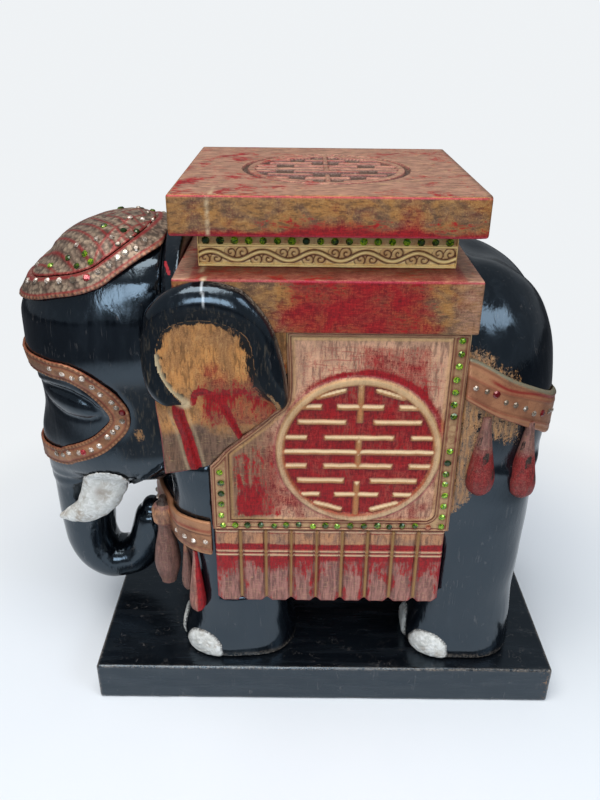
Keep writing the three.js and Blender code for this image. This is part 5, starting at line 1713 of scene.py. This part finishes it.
def gem_lines(x):
    """How far above the crupper's middle the edges of its row of stones lie."""
    return 2.5 + 5.5 * smooth(x, 106, 165), -11.5 + 3.0 * smooth(x, 106, 165)


grid = Grid((90, -104, 236), (192, 0, 348), 0.95)
line_away, _ = line_distance(crupper_line, grid.x, grid.z)
up = above_line(crupper_line, grid.x, grid.z)
relief = 0.7 * bell(up, 12.9, 1.1) + 0.5 * bell(up, -12.9, 1.0) - 0.5 * bell(up, 10.9, 0.8)
gem_top, gem_low = gem_lines(grid.x)
relief = relief + 0.5 * bell(up, gem_top, 0.8) + 0.5 * bell(up, gem_low, 0.8)
edge = np.maximum(line_away - CRUPPER["width"] / 2, CLOTH["right"] + SEAM - grid.x)
body_away = near_skin(grid, body_distance(grid, False)[0], body_tree, edge, 14)
points, quads = band_mesh(grid, body_away - relief, CRUPPER["thick"], edge)
x, y, z = points.T
up = above_line(crupper_line, x, z)
gem_top, gem_low = gem_lines(x)
stripe = 7 + 4.5 * smooth(x, 126, 165)
masks = {
    "Silver": smooth(up, 12.6, 13.6),
    "Red": np.clip(0.9 * bell(up, stripe, 1.4) * smooth(x, 112, 122) + 0.55 * bell(up, gem_top, 0.6)
                   + 0.5 * bell(up, gem_low, 0.6) + 0.5 * smooth(up, -13.4, -14.4), 0, 0.9),
    "Dark": 0.6 * bell(up, gem_top - 1.4, 0.6) + 0.6 * bell(up, gem_low + 1.4, 0.6)
    + 0.5 * bell(up, 11.6, 0.7),
    "Copper": 0.4 * smooth(up, 12.6, 11.8) * (1 - bell(up, stripe, 2)) * (1 - bell(up, gem_low, 1)),
    "Ridge": 0.8 * bell(up, gem_low - 1.6, 0.9) + 0.6 * smooth(up, 4, 9) * smooth(x, 128, 110)
    + 0.45 * bell(up, gem_top + 1.6, 0.9) + 0.3 * bell(up, -12.4, 0.8),
}
crupper_tree = make_band("crupper_band", points, quads, "copper", masks)

# Breast band across the chest

grid = Grid((-158, -104, 148), (-92, 0, 192), 0.95)
top = BREAST["floor"] + BREAST["height"]
top_rim, low_rim = top - 1.6, BREAST["floor"] + 1.6
breast_cord, breast_groove = 175.3, 173.6
edge = np.maximum(box(grid.z, BREAST["floor"], top), grid.x - BREAST["back"])
relief = 0.5 * bell(grid.z, top_rim, 0.9) + 0.5 * bell(grid.z, low_rim, 0.9)
relief = relief + 0.6 * bell(grid.z, breast_cord, 0.9) - 0.6 * bell(grid.z, breast_groove, 0.7)
relief = relief + 0.4 * bell(grid.z, 159.6, 0.8)
body_away = near_skin(grid, body_distance(grid, False)[0], body_tree, edge)
points, quads = band_mesh(grid, body_away - relief, BREAST["thick"], edge)
x, y, z = points.T
masks = {
    # Dark: darker in the groove under the upper cord and beside the lower cord, and a painted shadow
    # down the band where the knot tassel hangs in front of it.
    "Dark": np.clip(0.8 * bell(z, breast_groove, 0.8) + 0.5 * bell(z, 160.4, 0.6)
                    + 0.6 * bell(x, -140, 9), 0, 0.9),
    "Red": 0.6 * bell(z, 177.5, 1.4) + 0.5 * bell(z, 158.8, 0.6),
    "Ridge": np.clip(bell(z, top_rim, 1) + bell(z, low_rim, 1) + bell(z, breast_cord, 1)
                     + 0.5 * smooth(z, 175, 183), 0, 1),
}
breast_tree = make_band("breast_band", points, quads, "copper", masks)


# Cut stones: eight-sided, on the surface nearest to their places


def stones(name, places, tree, material, radius, rise=1.5):
    """One piece of cut stones on both sides, each set upright on what carries it."""
    cut_stones = []
    turns = np.random.default_rng(len(name) * 7 + len(places))
    for place in places:
        hit, normal, _, _ = tree.find_nearest(Vector(place))
        size = radius * turns.uniform(0.92, 1.08)
        lean = Vector(turns.uniform(-0.09, 0.09, 3).tolist())
        normal = (normal + lean).normalized()
        side = normal.cross(Vector((0.0, 0.0, 1.0)))
        side = side.normalized() if side.length > 0.2 else Vector((1.0, 0.0, 0.0))
        other = normal.cross(side).normalized()
        first = turns.uniform(0, math.pi / 4)
        angles = [first + k * math.pi / 4 for k in range(8)]
        rings = []
        for share, up in ((0.96, -0.45), (1.0, 0.5), (0.56, rise)):
            outs = [side * math.cos(angle) + other * math.sin(angle) for angle in angles]
            rings.append([hit + out * size * share + normal * up for out in outs])
        cut_stones.append(tube(rings))
    left = merged(cut_stones)
    make(name, *merged([left, mirror(*left)]), material, "gem_glass", [], sharp=20)


def stone_row(name, places, reds, tree, size, red_size):
    """A row of clear stones on a band, with red ones at the numbered places."""
    clears = [place for k, place in enumerate(places) if k not in reds]
    stones(name + "_stones", clears, tree, paints["clear"], size)
    stones(name + "_red_stones", [places[k] for k in reds], tree, paints["ruby"], red_size)


strap_places = [
    (-218.4, -65.3, 308.6), (-208.6, -69.5, 305.1), (-200.5, -70.8, 302.8),
    (-192.7, -72.5, 302.8), (-186.2, -71.7, 294.8), (-180.8, -69.7, 287.8),
    (-172.8, -68.3, 280.6), (-170, -67.6, 275.3), (-165.9, -66.9, 270.5),
    (-166.9, -66, 262.3), (-171.6, -65.8, 256.2), (-175.7, -65.6, 251.4),
    (-180.8, -65.4, 246.6), (-188.6, -64.2, 237.7), (-196, -62.6, 233.4),
    (-203.4, -61.1, 230), (-207.5, -60, 228.8), (-217.1, -55.4, 226.4),
    (-223.8, -51.7, 221.7), (-230.4, -45.9, 220.1),
]
stone_row("strap", strap_places, (8, 15), strap_tree, 2.5, 2.8)
band_places = [
    (-234.2, -36.8, 369.2), (-224.2, -47.4, 372), (-213.4, -55.2, 375.4), (-202.8, -60.1, 377.1),
    (-192, -63.6, 379.1), (-181.2, -64.5, 381.1), (-173, -63.2, 385.3), (-164.6, -61.2, 390),
    (-158.5, -58.2, 394.5), (-153.4, -55.1, 397.7), (-146.2, -51.6, 399.5), (-140.9, -42.6, 403.8),
]
stone_row("cap_band", band_places, (5,), band_tree, 2.6, 2.8)
cap_greens = [
    (-173.9, -29.4, 410.3), (-158, -35.2, 408.5), (-148.7, -33.5, 407.5), (-184.3, -51.6, 395.3),
    (-198.8, -47, 390.8), (-214.3, -41.5, 382.8), (-190.5, -54.6, 387), (-179.2, -56.3, 390.7),
]
cap_clears = [
    (-230, -25, 378.5), (-137.7, -7.1, 410.3), (-137.1, -20.2, 408.8), (-147.8, -11.1, 411.9),
    (-156.6, -16.4, 413.9), (-165.2, -43.3, 405.3), (-159.9, -48.6, 401.5), (-144.8, -45.7, 403.1),
    (-176.4, -43.9, 403.8), (-191.4, -42.8, 398.8),
]
stones("cap_green_stones", cap_greens, cap_tree, paints["green"], 2.7)
stones("cap_clear_stones", cap_clears, cap_tree, paints["clear"], 2.2)
crupper_places = [
    (105.2, -99, 311.1), (113.9, -98.5, 308.2), (121.3, -98, 305.6), (129.4, -96.5, 298.5),
    (137.4, -94, 295.3), (146.5, -91, 290.7), (154.7, -86.5, 284.3), (163.9, -80, 281.1),
    (171, -72, 279), (175.5, -62, 275.5), (179, -51, 272.5), (182, -40, 270), (184, -29, 269),
    (185.5, -17, 268.5), (186, -5.8, 268.5),
]
stone_row("crupper", crupper_places, (2, 7), crupper_tree, 2.3, 3.0)
breast_places = [
    (-101.1, -98, 166.8), (-111.5, -93, 165), (-119, -87.5, 166), (-127, -80, 166.6),
    (-151, -43, 166.6), (-154, -32, 166.6), (-156, -20, 166.6), (-157, -7, 166.6),
]
stones("breast_stones", breast_places, breast_tree, paints["clear"], 2.3)
left_out = empty_places + bare_places
on_strip = [(x, -CLOTH["face"] - 2, z) for x, z in stone_places if (x, z) not in left_out]
stones("border_stones", on_strip, strip_tree, paints["green"], 2.7)
stones(
    "border_sockets", [(x, -CLOTH["face"] - 2, z) for x, z in empty_places], strip_tree,
    paints["socket"], 2.3, 0.75,
)


# Table: tier, collar with its vine, and slab with its round fret


half_x, half_y = TIER["length"] / 2, TIER["width"] / 2
xs = spread(TABLE_X - half_x, TABLE_X + half_x, 0.8, 3, 4)
ys = spread(-half_y, half_y, 0.8, 3, 4)
zs = spread(TIER["floor"], TIER["floor"] + TIER["height"], 0.8, 2, 5)
points, faces = board(xs, ys, zs, 1.6)
x, y, z = points.T
from_top = TIER["floor"] + TIER["height"] - z
on_side = smooth(from_top, 0.4, 1.2)
u = x - TABLE_X
red_stretch = smooth(u, -42, -18) * smooth(u, 88, 60)
crack, _ = line_distance([(-98, -31), (-94, -82), (-91, -104)], x, y)
masks = {
    "Line": 0.85 * bell(from_top, 1.2, 0.55),
    "Gold": np.where(from_top > 0.6, 0.34 - 0.30 * red_stretch, 0.0),
    "Red": 0.25 * red_stretch * on_side + 0.2 * (1 - on_side),
    "Brown": 0.35 * smooth(u, 70, 100) * on_side
    + (0.30 + 0.45 * smooth(np.abs(u), half_x - 14, half_x - 6)) * (1 - on_side),
    "White": smooth(crack, 1.1, 0.5) * (from_top < 12) * (y < -60),
}
make("saddle_box_carved", points, faces, paints["slab"], "red_gold", ["saddle_box"], masks, 50)

collar_half_x, collar_half_y = COLLAR["length"] / 2, COLLAR["width"] / 2
collar_floor = COLLAR["floor"]
wave_length, wave_rise, vine_z = 36.8, 3.1, collar_floor + 7.7
panel_floor, panel_top, gem_row_z = collar_floor + 2.2, collar_floor + 14.4, collar_floor + 18.6


def spiral_distance(u, v, radius, turns, hand):
    """Distance in millimetres to a spiral line round the origin."""
    reach = np.hypot(u, v)
    angle = np.arctan2(v * hand, u)
    pitch = radius / turns
    phase = reach / pitch - angle / (2 * math.pi)
    off = np.abs(phase - np.round(phase)) * pitch
    return np.where(reach < radius + 0.6, off, 9)


def vine_lines(run, z):
    """Distances to the stem and the spirals of the frieze's vine, and how far it is in the panel."""
    phase = run / wave_length * 2 * math.pi
    wave_z = vine_z + wave_rise * np.sin(phase)
    lean = np.sqrt(1 + (wave_rise * 2 * math.pi / wave_length * np.cos(phase)) ** 2)
    stem = np.abs(z - wave_z) / lean
    share = run / (wave_length / 2) - 0.5
    cell = np.round(share)
    u = (share - cell) * wave_length / 2
    upper = (cell.astype(int) % 2) == 0
    v = z - np.where(upper, vine_z - 2.0, vine_z + 2.4)
    curl = np.full(np.broadcast(u, v).shape, 9.0)
    for side in (-1, 1):
        curl = np.minimum(curl, spiral_distance(u - side * 4.2, v, 4.3, 1.3, side))
    in_panel = smooth(z, panel_floor, collar_floor + 3.0)
    in_panel = in_panel * smooth(z, panel_top, collar_floor + 13.6)
    return stem, np.where(stem < 2.2, 9, curl), in_panel


xs = np.linspace(TABLE_X - collar_half_x, TABLE_X + collar_half_x, 369)
ys = np.linspace(-collar_half_y, collar_half_y, 299)
zs = spread(collar_floor, collar_floor + COLLAR["height"], 0.5, 0.5, 4)
points, faces = board(xs, ys, zs, 0.8, True)
x, y, z = points.T
on_long = np.abs(np.abs(y) - collar_half_y) < 0.9
run = np.where(on_long, x - TABLE_X + collar_half_x, np.abs(y) + 300)
stem, curl, in_panel = vine_lines(run, z)
relief = (1.1 * bell(stem, 0, 1.0) + 0.55 - 0.6 * bell(stem, 1.7, 0.5)
          - 0.75 * bell(curl, 0, 0.5)) * in_panel
ledge = 1.1 * smooth(np.abs(z - panel_top - 0.9), 1.1, 0.5)
ledge = ledge + 1.3 * smooth(z, panel_floor, collar_floor + 1.4)
depth = np.clip(1.3 - relief - ledge * (1 - in_panel * 0.5), 0, 1.4)
on_long_share = np.abs(np.abs(y) - collar_half_y) < 0.05
on_end_share = np.abs(np.abs(x - TABLE_X) - collar_half_x) < 0.05
points[:, 1] -= np.sign(y) * depth * on_long_share * (np.abs(x - TABLE_X) < collar_half_x - 1.2)
points[:, 0] -= np.sign(x - TABLE_X) * depth * on_end_share * (np.abs(y) < collar_half_y - 1.2)
side_face = (on_long_share | on_end_share).astype(float)
masks = {
    "Ridge": np.clip(0.8 * smooth(z, collar_floor + 2.6, collar_floor + 1.2)
                     + 0.6 * bell(stem, 0, 0.7) * in_panel
                     + bell(z, panel_top + 0.9, 0.8) + 0.5 * in_panel, 0, 1) * side_face,
    "Dark": np.clip(1.2 * bell(stem, 1.8, 0.6) * in_panel + 1.2 * bell(curl, 0, 0.55) * in_panel
                    + 0.62 * smooth(z, panel_top + 1.6, panel_top + 2.4)
                    + 0.6 * bell(z, panel_top - 0.3, 0.4), 0, 0.95) * side_face,
    "Red": 0.35 * bell(curl, 1.2, 0.6) * in_panel * side_face,
}
make("frieze_collar_carved", points, faces, paints["gold"], "frieze_gold", ["frieze_collar"], masks, 50)
collar_tree = BVHTree.FromPolygons(points.tolist(), faces)
along_long = np.linspace(TABLE_X - collar_half_x + 6, TABLE_X + collar_half_x - 6, 18)
along_end = np.linspace(-collar_half_y + 7, 0, 8)
collar_places = [(px, -collar_half_y - 1, gem_row_z) for px in along_long]
collar_places += [(TABLE_X - collar_half_x - 1, py, gem_row_z) for py in along_end[:-1]]
collar_places += [(TABLE_X + collar_half_x + 1, py, gem_row_z) for py in along_end[:-1]]
stones("frieze_stones", collar_places, collar_tree, paints["green"], 2.9, 1.2)

half_x, half_y = SLAB["length"] / 2, SLAB["width"] / 2
slab_top = SLAB["floor"] + SLAB["height"]
top_radius = ROUNDEL["radius"] + 0.5
reach_x = TABLE_X - top_radius - 1.5, TABLE_X + top_radius + 1.5, 0.85
xs = spread(TABLE_X - half_x, TABLE_X + half_x, 0.8, 2.2, 5, reach_x)
ys = spread(-half_y, half_y, 0.8, 2.2, 5, (-top_radius - 1.5, top_radius + 1.5, 0.85))
zs = spread(SLAB["floor"], slab_top, 0.8, 1.6, 5)
points, faces = board(xs, ys, zs, 2.2)
x, y, z = points.T
u = x - TABLE_X
on_top = z > slab_top - 0.05
reach = np.hypot(u, y)
fret = fret_distance(u, y, top_radius - 3.4)
in_disc = smooth(reach, top_radius + 0.5, top_radius - 0.3)
points[:, 2] -= on_top * in_disc * ROUNDEL["recess"] * (1 - domed(-fret, 1.6))
worn_corner = smooth(np.hypot(np.maximum(half_x - u, 0), np.maximum(half_y + y, 0)), 9, 2)
points[:, 0] -= worn_corner * 1.2
points[:, 1] += worn_corner * 1.0
from_rim = np.minimum(z - SLAB["floor"], slab_top - z)
on_side = smooth(slab_top - z, 0.6, 1.6) * smooth(z, SLAB["floor"] + 0.1, SLAB["floor"] + 0.5)
crack_x = -84.5 + 0.5 * np.sin(y / 6)
top_crack = bell(x, crack_x, 0.7) * smooth(y, -70, -84) * on_top
side_crack = bell(x, -86 + 0.4 * np.sin(z), 0.9) * (y < -half_y + 3) * on_side
flare = 6 + 3 * wobble(x, 0, 0, 24, 53) + 9 * bell(u, 5, 40)
low_red = smooth(z, SLAB["floor"] + flare, SLAB["floor"] + 1) * (0.6 + 0.4 * bell(u, 0, 60))
stain = smooth(wobble(x, y, 0, 30, 51) + 0.7 * wobble(x / 4, y, 0, 9, 52), 0.2, 1.6)
stain = stain * (0.35 + 0.65 * smooth(u, 20, -90))
top_red = 0.18 + 0.05 * smooth(u, 0, -90) + 0.12 * stain
speckled = 0.27 * smooth(z, SLAB["floor"] + 24, SLAB["floor"] + 8) * smooth(u, -75, -20)
# Painted shade: the recesses of the round fret are painted dark and half black. The top is also painted
# darker along its far and right rims, where its crimson line is fainter.
grooves = smooth(slab_top - z, 0.25, 0.9) * in_disc
far_rim = smooth(np.maximum(u - half_x, y - half_y), -6, -2.2) * (1 - on_side)
masks = {
    "Line": 0.9 * bell(from_rim, 1.0, 0.5) * (1 - 0.7 * far_rim),
    "Red": np.maximum(0.3 * low_red, speckled) * on_side + top_red * on_top * (1 - grooves),
    "Gold": 0.34 - 0.5 * low_red * on_side,
    "Brown": 0.95 * on_top * (1 - 0.35 * stain),
    "Dark": np.clip(0.9 * grooves + 0.45 * far_rim, 0, 1),
    "Black": 0.5 * grooves,
    "White": np.clip(top_crack + side_crack, 0, 1) * 0.9,
}
make("table_top_carved", points, faces, paints["slab"], "red_gold", ["table_top"], masks, 50)

# Plinth

node_low, node_high = [[c / MM for c in corner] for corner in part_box("plinth")]
xs, ys, zs = [
    spread(a, b, 1.2, coarse, 5) for a, b, coarse in zip(node_low, node_high, (4, 4, 3.2))
]
points, faces = board(xs, ys, zs, 2.6)
x, y, z = points.T
from_sides = np.minimum(points - node_low, node_high - points)
edge_away = np.sort(from_sides, axis=1)[:, 1]
dents = 0.35 * wobble(x, y, z, 34, 71) * smooth(edge_away, 0, 3)
points[:, 1] -= np.sign(y) * np.abs(dents) * (np.abs(np.abs(y) - PLINTH["width"] / 2) < 2)
masks = {
    "Wear": np.clip(0.75 * bell(edge_away, 0.6, 1.3), 0, 1),
    "Gold": 0.3 * smooth(x, 165, 202) * (z < node_high[2] - 2),
}
make("plinth_lacquered", points, faces, paints["worn"], "black_lacquer", ["plinth"], masks, 50)


# Tassels and tail


def turned(shares, radius, length, place, seed, sides=26, rings=44, flats=0.05):
    """A turned tassel hanging from its place, a little faceted by the knife."""
    table = np.array(shares)
    order = np.argsort(table[:, 1])
    made = []
    for up in np.linspace(1, 0, rings):
        out = float(eased(table[order, 1], table[order, 0], up))

        def reach_at(angle, up=up, out=out):
            facet = 1 - flats * abs(math.sin(3.5 * angle + seed))
            wave = 1 + 0.03 * math.sin(seed + 5 * up + angle)
            return max(out, 0.05) * radius * facet * wave

        made.append(ring(place[0], place[1], place[2] - (1 - up) * length, sides, reach_at))
    return tube(made)


def tassel(node, shares, size, place, slot, look, seed):
    points, faces = turned(shares, size[0], size[1], place, seed)
    up = 1 - (place[2] - points[:, 2]) / size[1]
    masks = look(up, np.arctan2(points[:, 1] - place[1], points[:, 0] - place[0]))
    make_pair(node + "_wood", points, faces, paints["fringe"], slot, node, masks, 60)


def worn_red(up, turn):
    """Crimson below a brown neck, with chips down to the black ground and painted shade down one side.
    """
    chips = smooth(np.sin(9 * up + 2 * turn) + np.sin(17 * up - 3 * turn + 1), 0.9, 1.4)
    return {
        "Gold": 0.5 * smooth(up, 0.55, 0.8) - 0.25 * smooth(up, 0.5, 0.3),
        "Red": 0.42 * smooth(up, 0.66, 0.5),
        "Brown": 0.3 + 0.35 * smooth(up, 0.55, 0.8),
        # Painted shade down one side of the tassel.
        "Dark": 0.4 * smooth(np.cos(turn - 1), 0.9, -0.6),
        "Black": 0.62 * chips + 0.36 * bell(up, 0.58, 0.05),
    }


def half_red(up, turn):
    """Crimson on the side towards the tail and rubbed pinkish brown on the other."""
    back = smooth(np.cos(turn), -0.3, 0.7)
    return {"Gold": 0.42 * (1 - back), "Red": 0.85 * back, "Brown": 0.45 * (1 - back)}


def all_brown(up, turn):
    gold = smooth(np.abs(up - 0.82), 0.12, 0.06)
    return {
        "Gold": 0.1 + 0.5 * gold,
        "Brown": 0.9 - 0.8 * gold,
        "Dark": 0.5 * (1 - gold),
        "Black": 0.9 * smooth(up, 0.9, 0.94),
    }


tassels = [
    ("rear_tassel_front", tassel_shares, (11.3, 67), (117, -97, 286), "crimson", worn_red),
    ("rear_tassel_back", tassel_shares, (11.3, 67), (154, -86, 277), "crimson", worn_red),
    ("breast_tassel_outer", tassel_shares, (7.3, 63), (-111, -91, 152.7), "crimson", half_red),
    ("breast_tassel_middle", tassel_shares, (5.2, 56), (-122, -72, 152.7), "red_gold", all_brown),
    ("breast_tassel_knot", knot_tassel_shares, (12, 90), (-141, -60, 187), "red_gold", all_brown),
]
for seed, (node, shares, size, place, slot, look) in enumerate(tassels, 1):
    tassel(node, shares, size, place, slot, look, seed)

tail_ups = np.linspace(0, 1, 48)
tail_outs, tail_downs = np.array(tail_shares).T
tail_x = RUMP + eased(tail_downs, tail_outs, tail_ups) * TAIL["radius"]
tail_thick = np.interp(tail_ups, np.linspace(0, 1, len(tail_thick_shares)), tail_thick_shares)
rings = []
for up, middle, thick in zip(tail_ups, tail_x, tail_thick):

    def hair_reach(angle, up=up, thick=thick):
        return thick * TAIL["radius"] * (1 + 0.05 * math.sin(9 * angle) * smooth(up, 0.8, 0.95))

    rings.append(ring(middle, 0, TAIL["top"] - up * TAIL["drop"], 20, hair_reach))
points, faces = tube(rings)
make("tail_carved", points, faces, paints["lacquer"], "black_lacquer", ["tail"])


# Floor, lights and camera

floor_mesh = bpy.data.meshes.new("floor")
floor_reach = 9.0
corners = [(a * floor_reach, b * floor_reach, 0) for a, b in ((-1, -1), (1, -1), (1, 1), (-1, 1))]
floor_mesh.from_pydata(corners, [], [(0, 1, 2, 3)])
floor = bpy.data.objects.new("floor", floor_mesh)
bpy.context.scene.collection.objects.link(floor)
floor_paint = Paint("floor_paint")
floor_mesh.materials.append(floor_paint.material)
tree = floor_paint.tree
glow = tree.nodes.new("ShaderNodeEmission")
glow.inputs["Color"].default_value = BACKDROP
from_middle = tree.nodes.new("ShaderNodeVectorMath")
from_middle.operation = "LENGTH"
tree.links.new(floor_paint.place, from_middle.inputs[0])
far = floor_paint.band(from_middle.outputs["Value"], 0.30, 0.56)
pale = floor_paint.mix(floor_paint.noise(180, 2), (0.89, 0.91, 0.94), (0.91, 0.93, 0.95))
outer = floor_paint.band(from_middle.outputs["Value"], 0.40, 0.80)
floor_paint.done(floor_paint.mix(outer, pale, (0.30, 0.31, 0.33)), 0.9)
seen = tree.nodes.new("ShaderNodeLightPath").outputs["Is Camera Ray"]
blend = tree.nodes.new("ShaderNodeMixShader")
tree.links.new(floor_paint.times(far, seen), blend.inputs[0])
tree.links.new(floor_paint.shader.outputs[0], blend.inputs[1])
tree.links.new(glow.outputs[0], blend.inputs[2])
tree.links.new(blend.outputs[0], tree.nodes["Material Output"].inputs[0])

world = bpy.data.worlds.new("studio")
bpy.context.scene.world = world
world.use_nodes = True
nodes, links = world.node_tree.nodes, world.node_tree.links
background = nodes["Background"]
background.inputs["Color"].default_value = (0.86, 0.93, 1.0, 1)
background.inputs["Strength"].default_value = 0.24
white = nodes.new("ShaderNodeBackground")
white.inputs["Color"].default_value = BACKDROP
white.inputs["Strength"].default_value = 1.0
path = nodes.new("ShaderNodeLightPath")
choose = nodes.new("ShaderNodeMixShader")
links.new(path.outputs["Is Camera Ray"], choose.inputs[0])
links.new(background.outputs[0], choose.inputs[1])
links.new(white.outputs[0], choose.inputs[2])
links.new(choose.outputs[0], nodes["World Output"].inputs[0])


def soft_light(name, place, aim, size, power, colour=(1, 1, 1)):
    light = bpy.data.lights.new(name, "AREA")
    light.color = colour
    light.shape = "RECTANGLE"
    light.size, light.size_y = size
    light.energy = power
    lamp = bpy.data.objects.new(name, light)
    bpy.context.scene.collection.objects.link(lamp)
    lamp.location = place
    lamp.rotation_euler = (Vector(aim) - Vector(place)).to_track_quat("-Z", "Y").to_euler()


soft_light("over", (-0.32, -0.6, 2.1), (0, 0, 0.15), (1.5, 1.5), 42, (1.0, 0.97, 0.93))
soft_light("window_front", (-0.2, -2.03, 0.92), (-0.16, 0, 0.37), (1.1, 0.62), 15, (0.80, 0.90, 1.0))
soft_light("window_right", (1.25, -0.98, 1.44), (0.12, 0, 0.35), (0.8, 0.62), 7, (0.80, 0.90, 1.0))

camera_data = bpy.data.cameras.new("camera")
camera = bpy.data.objects.new("camera", camera_data)
bpy.context.scene.collection.objects.link(camera)
bpy.context.scene.camera = camera
focal_pixels, frame_pixels, film_width = 748.0, 800, 36.0
camera_data.sensor_fit = "AUTO"
camera_data.sensor_width = film_width
camera_data.lens = film_width * focal_pixels / frame_pixels
camera_data.clip_start = 0.01
camera_place = (-0.0247, -0.5931, 0.5511)
pitch, yaw, roll = 0.470, 0.001, -0.0108
forward = Vector((math.sin(yaw) * math.cos(pitch), math.cos(yaw) * math.cos(pitch), -math.sin(pitch)))
level = Vector((math.cos(yaw), -math.sin(yaw), 0))
down = forward.cross(level)
right = math.cos(roll) * level + math.sin(roll) * down
down = -math.sin(roll) * level + math.cos(roll) * down
turn = Matrix((right, -down, -forward)).transposed().to_4x4()
camera.matrix_world = Matrix.Translation(camera_place) @ turn

bpy.context.scene.view_settings.view_transform = "Standard"
